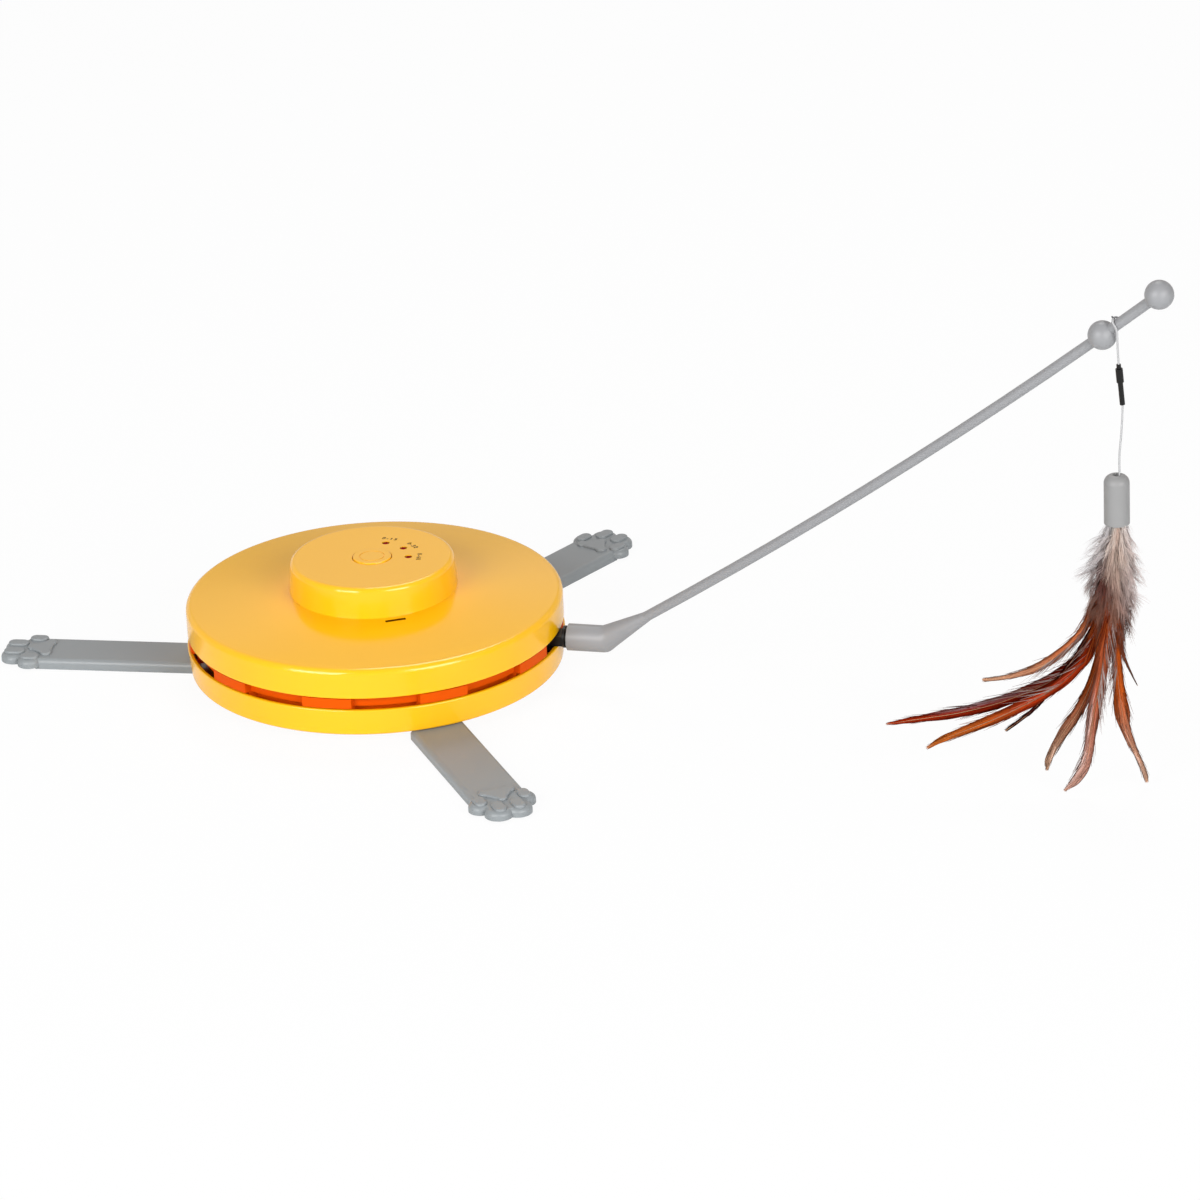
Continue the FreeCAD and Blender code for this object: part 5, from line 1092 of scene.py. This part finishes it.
@dataclass
class Hackles(FeatherWork):
    """The long feathers under the cap.

    Sizes are in millimetres, and places along a feather are shares of its length. Fields in the plural with
    two numbers are ranges that chance picks from. in_cap holds two points inside the cap, each as a share of
    the root's offset and a depth under the cap's top.
    """

    feathers: tuple[Hackle, ...] = (
        Hackle(((0.25, 0.8), (0.45, 3.4), (0.6, 4.2), (0.77, 5.0), (0.88, 2.6), (1.0, 1.9)), (-2.1, -2.6),
               ((-9, -3.2, 135), (-16.4, -3.4, 155.4), (-23.2, -3.9, 164.0), (-32.2, -4.4, 171.8),
                (-43.2, -5.0, 177.7), (-55.1, -5.5, 180.6), (-65.4, -6.0, 181.4)),
               ("7c2404", "a85c38", "a87c62"), ("e8bc90", 0.15, 0.5, 0.93), (0.62, 0.86, 1, 26)),
        Hackle(((0.25, 0.6), (0.6, 2.4), (0.8, 1.6), (1.0, 0.3)), (0.9, -1.9),
               ((-1.5, -2.6, 135), (0.1, -3.0, 157.7), (1.8, -3.3, 168.8), (4.6, -3.7, 177.2),
                (9.0, -4.0, 187.1)),
               ("8c3008", "8a3c18", "5c4034"), ("b09080", 0.0, 0.5, 0.9), (0.45, 0.85, -1, 18)),
        # This feather's pale lavender stripe near its upper edge is a painted highlight.
        Hackle(((0.25, 0.8), (0.38, 5.0), (0.5, 7.2), (0.71, 6.4), (0.82, 5.6), (0.93, 3.4), (1.0, 1.2)),
               (-2.3, -1.1),
               ((-8, -1.5, 138), (-13.4, -1.6, 163.5), (-19.0, -1.7, 171.4), (-26.5, -1.7, 177.6),
                (-35.5, -1.8, 183.2), (-45.6, -1.8, 187.7), (-59.6, -1.9, 192.5), (-76.6, -1.9, 196.3),
                (-93.6, -1.9, 198.4), (-112.2, -2.0, 200.6)),
               ("400a02", "580e02", "8a2204"), ("a08c90", -0.8, 0.62, 0.85), (0.5, 0.78, -1, 26)),
        Hackle(((0.25, 0.6), (0.5, 1.6), (0.8, 2.0), (1.0, 1.7)), (0.7, -0.4),
               ((-6, 0, 138), (-15.0, 0.2, 157.7), (-21.1, 0.3, 168.2), (-27.2, 0.5, 176.6),
                (-32.7, 0.6, 184.5), (-40.9, 0.7, 194.6), (-47.9, 0.9, 200.3), (-55.2, 1.0, 205.6)),
               ("3c0a02", "300804", "2c0c0a"), ("6c3830", 0.0, 0.5, 0.7), (0.3, 0.6, 1, 14)),
        Hackle(((0.25, 0.8), (0.42, 4.4), (0.55, 5.4), (0.74, 6.2), (0.85, 5.2), (0.93, 3.8), (1.0, 1.5)),
               (-2.0, 0.4),
               ((-7.5, 1.6, 138), (-14.2, 2.2, 165.5), (-20.8, 2.4, 173.9), (-27.9, 2.6, 181.1),
                (-35.9, 2.8, 186.1), (-46.0, 3.0, 191.5), (-56.0, 3.2, 196.2), (-68.1, 3.4, 201.0),
                (-80.1, 3.6, 205.3), (-87.7, 3.8, 208.4), (-93.3, 4.0, 211.7)),
               ("3c0a02", "8c2606", "a8561e"), ("c89080", -0.1, 0.5, 0.76), (0.5, 0.8, -1, 18)),
        Hackle(((0.25, 0.8), (0.5, 3.6), (0.68, 4.6), (0.82, 5.6), (0.9, 4.2), (0.96, 3.2), (1.0, 1.6)),
               (0.6, 1.2),
               ((-6, 2.9, 135), (-8.7, 3.6, 158.7), (-11.0, 3.9, 171.5), (-15.1, 4.1, 184.2),
                (-20.2, 4.4, 195.4), (-27.3, 4.7, 205.9), (-32.4, 5.0, 214.3), (-35.0, 5.2, 220.1),
                (-35.7, 5.5, 225.4)),
               ("581604", "883a10", "8c6c58"), ("d0ac98", 0.3, 0.86, 1.0), (0.42, 0.72, 1, 64)),
        Hackle(((0.25, 0.8), (0.45, 3.6), (0.6, 5.0), (0.74, 7.2), (0.83, 4.0), (0.88, 2.5), (0.98, 2.6),
                (1.0, 1.8)),
               (-1.6, 2.0),
               ((-2, 4.6, 135), (-1.9, 5.5, 156.0), (-1.8, 5.8, 168.9), (-0.9, 6.1, 182.9), (0.3, 6.4, 193.8),
                (2.0, 6.8, 204.7), (4.8, 7.1, 212.4), (8.3, 7.4, 220.1), (11.0, 7.7, 227.8),
                (12.2, 8.0, 232.9)),
               ("8c340c", "9c4414", "a27e6a"), ("d8b4a4", -0.6, 0.82, 1.0), (0.4, 0.72, -1, 64)),
        Hackle(((0.25, 0.8), (0.42, 5.6), (0.6, 6.4), (0.72, 6.8), (0.81, 4.8), (0.9, 5.4), (0.95, 4.6),
                (1.0, 1.4)),
               (0.2, 2.8),
               ((-4.5, 7, 135), (-7.6, 8.5, 157.6), (-9.3, 9.4, 171.3), (-11.2, 10.2, 182.8),
                (-13.3, 11.1, 193.2), (-15.0, 12.0, 203.6), (-16.1, 12.9, 212.0), (-18.3, 13.8, 220.2),
                (-22.4, 14.6, 226.8), (-28.3, 15.5, 231.8)),
               ("441002", "944628", "aa8072"), ("dcc4bc", -0.75, 0.62, 1.0), (0.45, 0.78, 1, 60)),
    )
    cap_shift: float = -0.7
    cap_top: float = 75.6
    in_cap: tuple = ((0.85, 9.5), (1.0, 25.5))
    # The dye turns into the middle's colour and then into the tip's: where it starts, and over what share.
    to_middle: tuple[float, float] = (0.3, 0.25)
    to_tip: tuple[float, float] = (0.7, 0.25)
    streak_fade: float = 0.1
    streak_breadth: float = 0.26
    rim_start: float = 0.7
    rim_shade: float = 0.7
    # The web is a thin sheet that bows a little. web_marks are the shares of its half width with vertices.
    web_start: float = 0.24
    web_run: float = 0.758
    web_rows: int = 80
    web_marks: tuple[float, ...] = (-1.0, -0.86, -0.64, -0.42, -0.2, 0.0, 0.2, 0.42, 0.64, 0.86, 1.0)
    web_bow: float = 0.2
    blunt_end: float = 0.02
    wave_height: float = 0.05
    wave_rate: float = 47
    # Each row's tones drift away from those of the row before.
    tone_memory: float = 0.85
    tone_step: float = 0.19
    darkest: float = 0.4
    web_tones: float = 0.04
    # The vane's barbs lie close over both faces of the web. A few stray past its edge.
    vane_start: float = 0.22
    vane_end: float = 0.97
    barb_step: float = 0.26
    barb_run: float = 5.0
    barb_slant: float = 3.6
    barb_breadth: float = 0.3
    barb_bow: float = 0.1
    barb_tones: float = 0.42
    off_web: float = 0.12
    reaches: tuple[float, float] = (0.35, 1.02)
    roots: tuple[float, float] = (0.25, 0.6)
    stray_share: float = 0.05
    stray_reaches: tuple[float, float] = (1.15, 1.6)
    # Dark loose barbs stand near the root on both sides, pale ones farther out on one side.
    dark: LooseBarb = LooseBarb((12, 24), 1.6, 0.22, 0.4, ("5c1806", "a84c1c"), 1.5)
    dark_per_mm: int = 20
    dark_starts: tuple[float, float] = (0.16, 0.42)
    dark_reach: float = 1.4
    dark_reach_share: float = 0.45
    pale: LooseBarb = LooseBarb((11, 21), 0.8, 0.24, 0.5, ("a09490", "6c4438"), 1.3)
    pale_before: float = 0.12
    pale_reaches: tuple[float, float] = (0.3, 3.4)
    shaft_root: float = 0.36
    shaft_fall: float = 0.22
    shaft_dye: str = "d8a880"
    shaft_sides: int = 6

    def dye(self, hackle: Hackle, share: float, across: float, spread: float) -> Colour:
        """Finds the colour of a feather.

        Args:
            hackle: the feather.
            share: share of the length.
            across: share of the half width, negative on the left of the quill's run.
            spread: how far the brightness may vary.

        Returns:
            The linear colour.
        """
        root, middle, tip = (linear(colour) for colour in hackle.colours)
        colour = blend(root, middle, (share - self.to_middle[0]) / self.to_middle[1])
        if share > self.to_tip[0]:
            colour = blend(middle, tip, (share - self.to_tip[0]) / self.to_tip[1])
        pale, place, start, stop = hackle.streak
        ends = clamp((share - start) / self.streak_fade)
        ends *= clamp((stop + self.streak_fade / 2 - share) / self.streak_fade)
        ends *= math.exp(-((across - place) / self.streak_breadth) ** 2)
        colour = blend(colour, linear(pale), ends * self.chance.uniform(0.0, 0.9))
        rim = clamp((abs(across) - self.rim_start) / (1 - self.rim_start))
        return shaded(colour, (1 - self.rim_shade * rim) * self.chance.uniform(1 - spread, 1 + spread))

    def web(self, hackle: Hackle, quill: Quill) -> tuple[list, list, list]:
        """Makes the thin web of one feather.

        Args:
            hackle: the feather.
            quill: its centre line.

        Returns:
            Vertices, faces and the colour of each vertex.
        """
        count = len(self.web_marks)
        vertices, faces, colours = [], [], []
        tones = [0.0] * count
        for row in range(self.web_rows):
            share = self.web_start + self.web_run * row / (self.web_rows - 1)
            centre, side, face = quill.at(share * quill.length)
            half = hackle.half_width(share) * math.sqrt(min(1.0, (1.0 - share) / self.blunt_end))
            wave = 1 + self.wave_height * math.sin(share * self.wave_rate + hackle.root[0] * 9)
            for index, mark in enumerate(self.web_marks):
                drift = self.chance.uniform(-self.tone_step, self.tone_step)
                tones[index] = self.tone_memory * tones[index] + drift
                bow = self.web_bow * half * (mark * mark)
                vertices.append(centre + (side * mark * half * wave + face * bow) * MM)
                dye = self.dye(hackle, share, mark, self.web_tones)
                colours.append(shaded(dye, max(self.darkest, 1 + tones[index])))
        for row in range(self.web_rows - 1):
            for index in range(count - 1):
                low, high = row * count + index, (row + 1) * count + index
                faces.append((low, low + 1, high + 1, high))
        return vertices, faces, colours

    def vane(self, barbs: BarbField, hackle: Hackle, quill: Quill) -> None:
        """Adds the barbs on both sides of one quill.

        Args:
            barbs: the barbs of all feathers, which these join.
            hackle: the feather.
            quill: its centre line.
        """
        chance = self.chance
        length = quill.length / MM
        for side in (-1, 1):
            start = self.vane_start * length
            while start < length * self.vane_end:
                reach = hackle.half_width(start / length)
                run = (self.barb_run + reach * self.barb_slant) * chance.uniform(0.85, 1.15)
                stop = min(start + run, length * (1.0 + chance.uniform(-0.02, 0.002)))
                ending = hackle.half_width(stop / length)
                out_share = chance.uniform(*self.reaches)
                if chance.random() < self.stray_share:
                    out_share = chance.uniform(*self.stray_reaches)
                root_share = out_share * chance.uniform(*self.roots)
                root, near_side, near_face = quill.at(start * MM)
                end, out, face = quill.at(stop * MM)
                front = chance.choice((-self.off_web, self.off_web))
                rise = self.web_bow * ending * out_share ** 2 + front
                tip = end + (out * side * ending * out_share + face * rise) * MM
                root = root + (near_side * side * reach * root_share + near_face * front) * MM
                middle = (start + stop) / 2 / length
                dye = self.dye(hackle, middle, side * min(1.0, out_share), self.barb_tones)
                twist = near_side * chance.uniform(-0.3, 0.3) - face
                barbs.add(root, tip, twist, self.barb_breadth * MM, self.barb_bow * MM, dye)
                start += self.barb_step * chance.uniform(0.8, 1.2)

    def loose_barb(self, barbs: BarbField, kind: LooseBarb, quill: Quill, run: tuple[float, float],
                   lateral: float) -> None:
        """Adds one barb that leaves the quill and ends beside it.

        Args:
            barbs: the barbs of all feathers, which this one joins.
            kind: its kind.
            quill: the feather's centre line.
            run: the distances along the quill of its root and its tip.
            lateral: the tip's distance from the quill.
        """
        start, stop = run
        root = quill.at(start * MM)[0]
        end, out, face = quill.at(stop * MM)
        tip = end + (out * lateral + face * self.chance.uniform(-kind.lift, kind.lift)) * MM
        first, second = (linear(colour) for colour in kind.dyes)
        dye = blend(first, second, self.chance.random() ** kind.dye_power)
        barbs.add(root, tip, -face, kind.breadth * MM, kind.bow * MM, dye)

    def loose_barbs(self, barbs: BarbField, hackle: Hackle, quill: Quill) -> None:
        """Adds the separate barbs of one feather.

        Args:
            barbs: the barbs of all feathers, which these join.
            hackle: the feather.
            quill: its centre line.
        """
        chance = self.chance
        length = quill.length / MM
        for _ in range(int(hackle.widest * self.dark_per_mm)):
            start = length * chance.uniform(*self.dark_starts)
            stop = start + chance.uniform(*self.dark.lengths)
            lateral = chance.uniform(-1, 1) * (self.dark_reach + hackle.widest * self.dark_reach_share)
            self.loose_barb(barbs, self.dark, quill, (start, stop), lateral)
        low, high, side, count = hackle.loose
        for _ in range(count):
            start = length * chance.uniform(low - self.pale_before, high - self.pale_before)
            stop = start + chance.uniform(*self.pale.lengths)
            lateral = hackle.half_width(stop / length) + chance.uniform(*self.pale_reaches)
            self.loose_barb(barbs, self.pale, quill, (start, stop), side * lateral)

    def shaft(self, hackle: Hackle, quill: Quill) -> tuple[list, list, list]:
        """Makes the round shaft of one feather.

        Args:
            hackle: the feather.
            quill: its centre line.

        Returns:
            Vertices, faces and the colour of each vertex.
        """
        radii = [MM * (self.shaft_root - self.shaft_fall * mark / quill.length) for mark in quill.marks]
        vertices, faces = tube(quill.line, radii, self.shaft_sides)
        root, tip = linear(hackle.colours[0]), linear(self.shaft_dye)
        tones = [blend(root, tip, (mark / quill.length - 0.45) * 1.3) for mark in quill.marks]
        return vertices, faces, [tones[number // self.shaft_sides] for number in range(len(vertices))]

    def build(self) -> None:
        """Makes all the hackles as one piece."""
        barbs = BarbField()
        vertices, faces, colours = [], [], []
        for hackle in self.feathers:
            x, near = hackle.root
            points = [self.spot(self.cap_shift + x * share, near, self.cap_top + depth)
                      for share, depth in self.in_cap]
            points += [self.spot(*place) for place in hackle.quill]
            quill = Quill(points)
            self.vane(barbs, hackle, quill)
            self.loose_barbs(barbs, hackle, quill)
            for part in (self.web(hackle, quill), self.shaft(hackle, quill)):
                base = len(vertices)
                vertices += part[0]
                faces += [tuple(base + index for index in wall) for wall in part[1]]
                colours += part[2]
        core = mesh_piece("hackle_shafts", vertices, faces)
        paint(core.data, colours)
        piece = barbs.grow("hackle_feather_barbs", core, Finishes.HACKLE)
        self.tie(piece, "hackle_feathers", "rust_feather")


@dataclass
class Fluff(FeatherWork):
    """The pale down under the cap, in tufts that stand on a dense middle.

    Sizes are in millimetres, and depths are below the knot. rings holds depths with the fluff's shift and
    radius there, and dyes holds depths with the down's colour there. Tints are laid over the dyes by place.
    Fields in the plural with two numbers are ranges that chance picks from. A tuft's flare is how far its
    tips reach, and feet how far out it starts, as shares of the fluff's radius.
    """

    rings: tuple = (
        (97.0, -0.7, 4.6), (101.5, -0.7, 4.8), (105.5, -1.0, 6.2), (111.0, -1.4, 8.9), (117.0, -2.8, 10.9),
        (129.0, -3.4, 12.6), (136.0, -3.0, 12.2), (147.0, -3.5, 10.9), (154.0, -4.4, 8.6), (160.0, -5.0, 5.8),
    )
    dyes: tuple = ((97, "f2ece6"), (106, "eadcd2"), (118, "d2bcae"), (130, "a88c80"), (142, "886050"),
                   (154, "6c3c28"), (164, "5c240e"))
    left_tint: str = "cfccce"
    right_tint: str = "d6cac8"
    stem_tint: str = "9c6c50"
    patch_tint: str = "561a08"
    patch_place: tuple[float, float] = (-0.42, 128)
    patch_size: tuple[float, float] = (0.34, 13)
    tone_spread: float = 0.16
    tufts: int = 460
    tuft_barbs: int = 15
    barb_breadth: float = 0.24
    core_share: float = 0.62
    # The middle's dye is painted darker by this factor, for the shade inside the fluff.
    core_painted_shade: float = 0.62
    core_rings: int = 32
    core_sides: int = 20
    core_wave: float = 0.06
    feet: tuple[float, float] = (0.35, 0.8)
    lengths: tuple[float, float] = (7, 13)
    flares: tuple[float, float] = (0.8, 1.12)
    # Below the neck some tufts stand out. More do on the upper left, and there they are short.
    neck: float = 104
    out_share: float = 0.18
    out_flares: tuple[float, float] = (1.15, 1.4)
    out_length: float = 0.8
    left_share: float = 0.45
    left_flares: tuple[float, float] = (1.2, 1.45)
    left_lengths: tuple[float, float] = (3, 7)
    # The lower end is ragged.
    ragged_from: float = 146
    ragged_flares: tuple[float, float] = (0.7, 1.5)
    ragged_lengths: tuple[float, float] = (8, 16)

    def ring_at(self, depth: float) -> tuple[float, float]:
        """Finds how far the fluff reaches.

        Args:
            depth: depth below the knot.

        Returns:
            The fluff's shift and radius there.
        """
        for (low, shift, radius), (high, shift_on, radius_on) in zip(self.rings, self.rings[1:]):
            if depth <= high:
                share = max(0.0, (depth - low) / (high - low))
                return shift + (shift_on - shift) * share, radius + (radius_on - radius) * share
        return self.rings[-1][1:]

    def dye(self, across: float, depth: float) -> Colour:
        """Finds the colour of the down.

        Args:
            across: share of the fluff's half width, negative on the left.
            depth: depth below the knot.

        Returns:
            The linear colour.
        """
        colour = linear(self.dyes[-1][1])
        for (low, first), (high, second) in zip(self.dyes, self.dyes[1:]):
            if depth <= high:
                colour = blend(linear(first), linear(second), (depth - low) / (high - low))
                break
        left = clamp((-across - 0.3) * 2.2) * clamp((138 - depth) / 14)
        right = clamp((across - 0.1) * 1.8) * clamp((156 - depth) / 22)
        aside = (across - self.patch_place[0]) / self.patch_size[0]
        below = (depth - self.patch_place[1]) / self.patch_size[1]
        patch = math.exp(-aside ** 2 - below ** 2)
        stem = math.exp(-((across + 0.02) / 0.12) ** 2) * clamp((116 - depth) / 8)
        for share, tint in ((left * 0.9, self.left_tint), (right * 0.75, self.right_tint),
                            (stem * 0.6, self.stem_tint), (patch * 0.95, self.patch_tint)):
            colour = blend(colour, linear(tint), share)
        return shaded(colour, self.chance.uniform(1 - self.tone_spread, 1 + self.tone_spread))

    def core(self) -> bpy.types.Object:
        """Makes the dense middle of the fluff, which the down stands on, in painted shade.

        Returns:
            The middle.
        """
        first, last = self.rings[0][0], self.rings[-1][0]
        vertices, colours = [], []
        for step in range(self.core_rings + 1):
            depth = first + (last - first) * step / self.core_rings
            shift, radius = self.ring_at(depth)
            for side in range(self.core_sides):
                angle = 2 * math.pi * side / self.core_sides
                wave = 1 + self.core_wave * math.sin(5 * angle + depth * 0.4)
                out = Vector((math.cos(angle), math.sin(angle), 0)) * (radius * self.core_share) * wave
                vertices.append(self.spot(shift + out.x, out.y, depth))
                colours.append(shaded(self.dye(math.cos(angle) * self.core_share, depth), self.core_painted_shade))
        item = mesh_piece("down_core", vertices, tube_faces(self.core_rings + 1, self.core_sides))
        paint(item.data, colours)
        return item

    def tuft(self, barbs: BarbField, depth: float) -> None:
        """Adds one tuft.

        Args:
            barbs: the barbs of all tufts, which these join.
            depth: depth of its foot below the knot.
        """
        chance = self.chance
        shift, radius = self.ring_at(depth)
        angle = chance.uniform(0, 2 * math.pi)
        level = chance.uniform(*self.feet)
        out = Vector((math.cos(angle), -math.sin(angle), 0))
        length = chance.uniform(*self.lengths)
        below, reach = self.ring_at(min(depth + length * 0.8, self.rings[-1][0]))
        flare = chance.uniform(*self.flares)
        upper = clamp((134 - depth) / 20) if depth > self.neck + 1 else 0.0
        if depth > self.neck and chance.random() < self.out_share:
            flare = chance.uniform(*self.out_flares)
            length *= self.out_length
        if out.x < -0.3 and chance.random() < self.left_share * upper:
            flare = chance.uniform(*self.left_flares)
            length = chance.uniform(*self.left_lengths)
        if depth > self.ragged_from:
            length = chance.uniform(*self.ragged_lengths)
            flare = chance.uniform(*self.ragged_flares)
        base = self.spot(shift, 0, depth) + out * radius * level * MM
        goal = self.spot(below, 0, depth + length) + out * reach * flare * MM
        tone = self.dye(out.x * min(1.0, (level + flare) / 2), depth + length * 0.45)
        bow = chance.uniform(0.3, 1.3)
        for _ in range(self.tuft_barbs):
            start = base + Vector([chance.uniform(-0.9, 0.9) for _ in range(3)]) * MM
            scatter = Vector([chance.gauss(0, 0.95) for _ in range(3)]) * MM
            stop = goal + scatter + (goal - base) * chance.uniform(-0.3, 0.08)
            dye = shaded(tone, chance.uniform(0.82, 1.18))
            tilt = Vector((chance.uniform(-0.6, 0.6), chance.uniform(-0.6, 0.6), 0.4))
            barbs.add(start, stop, out + tilt, self.barb_breadth * MM, bow * MM, dye)

    def build(self) -> None:
        """Makes the fluff as one piece."""
        barbs = BarbField()
        first, last = self.rings[0][0], self.rings[-1][0]
        for _ in range(self.tufts):
            self.tuft(barbs, first + (last - first) * self.chance.random() ** 0.9)
        piece = barbs.grow("down_feather_barbs", self.core(), Finishes.DOWN)
        self.tie(piece, "fluff_feathers", "pale_feather")


def main() -> None:
    """Builds the whole scene."""
    logging.basicConfig(level=logging.INFO, format="%(name)s: %(message)s")
    Studio().build()
    Strings().build()
    CarriedNodes().dress()
    Scale().build()
    chance = random.Random(71)
    Hackles(chance).build()
    Fluff(chance).build()


if __name__ == "__main__":
    main()
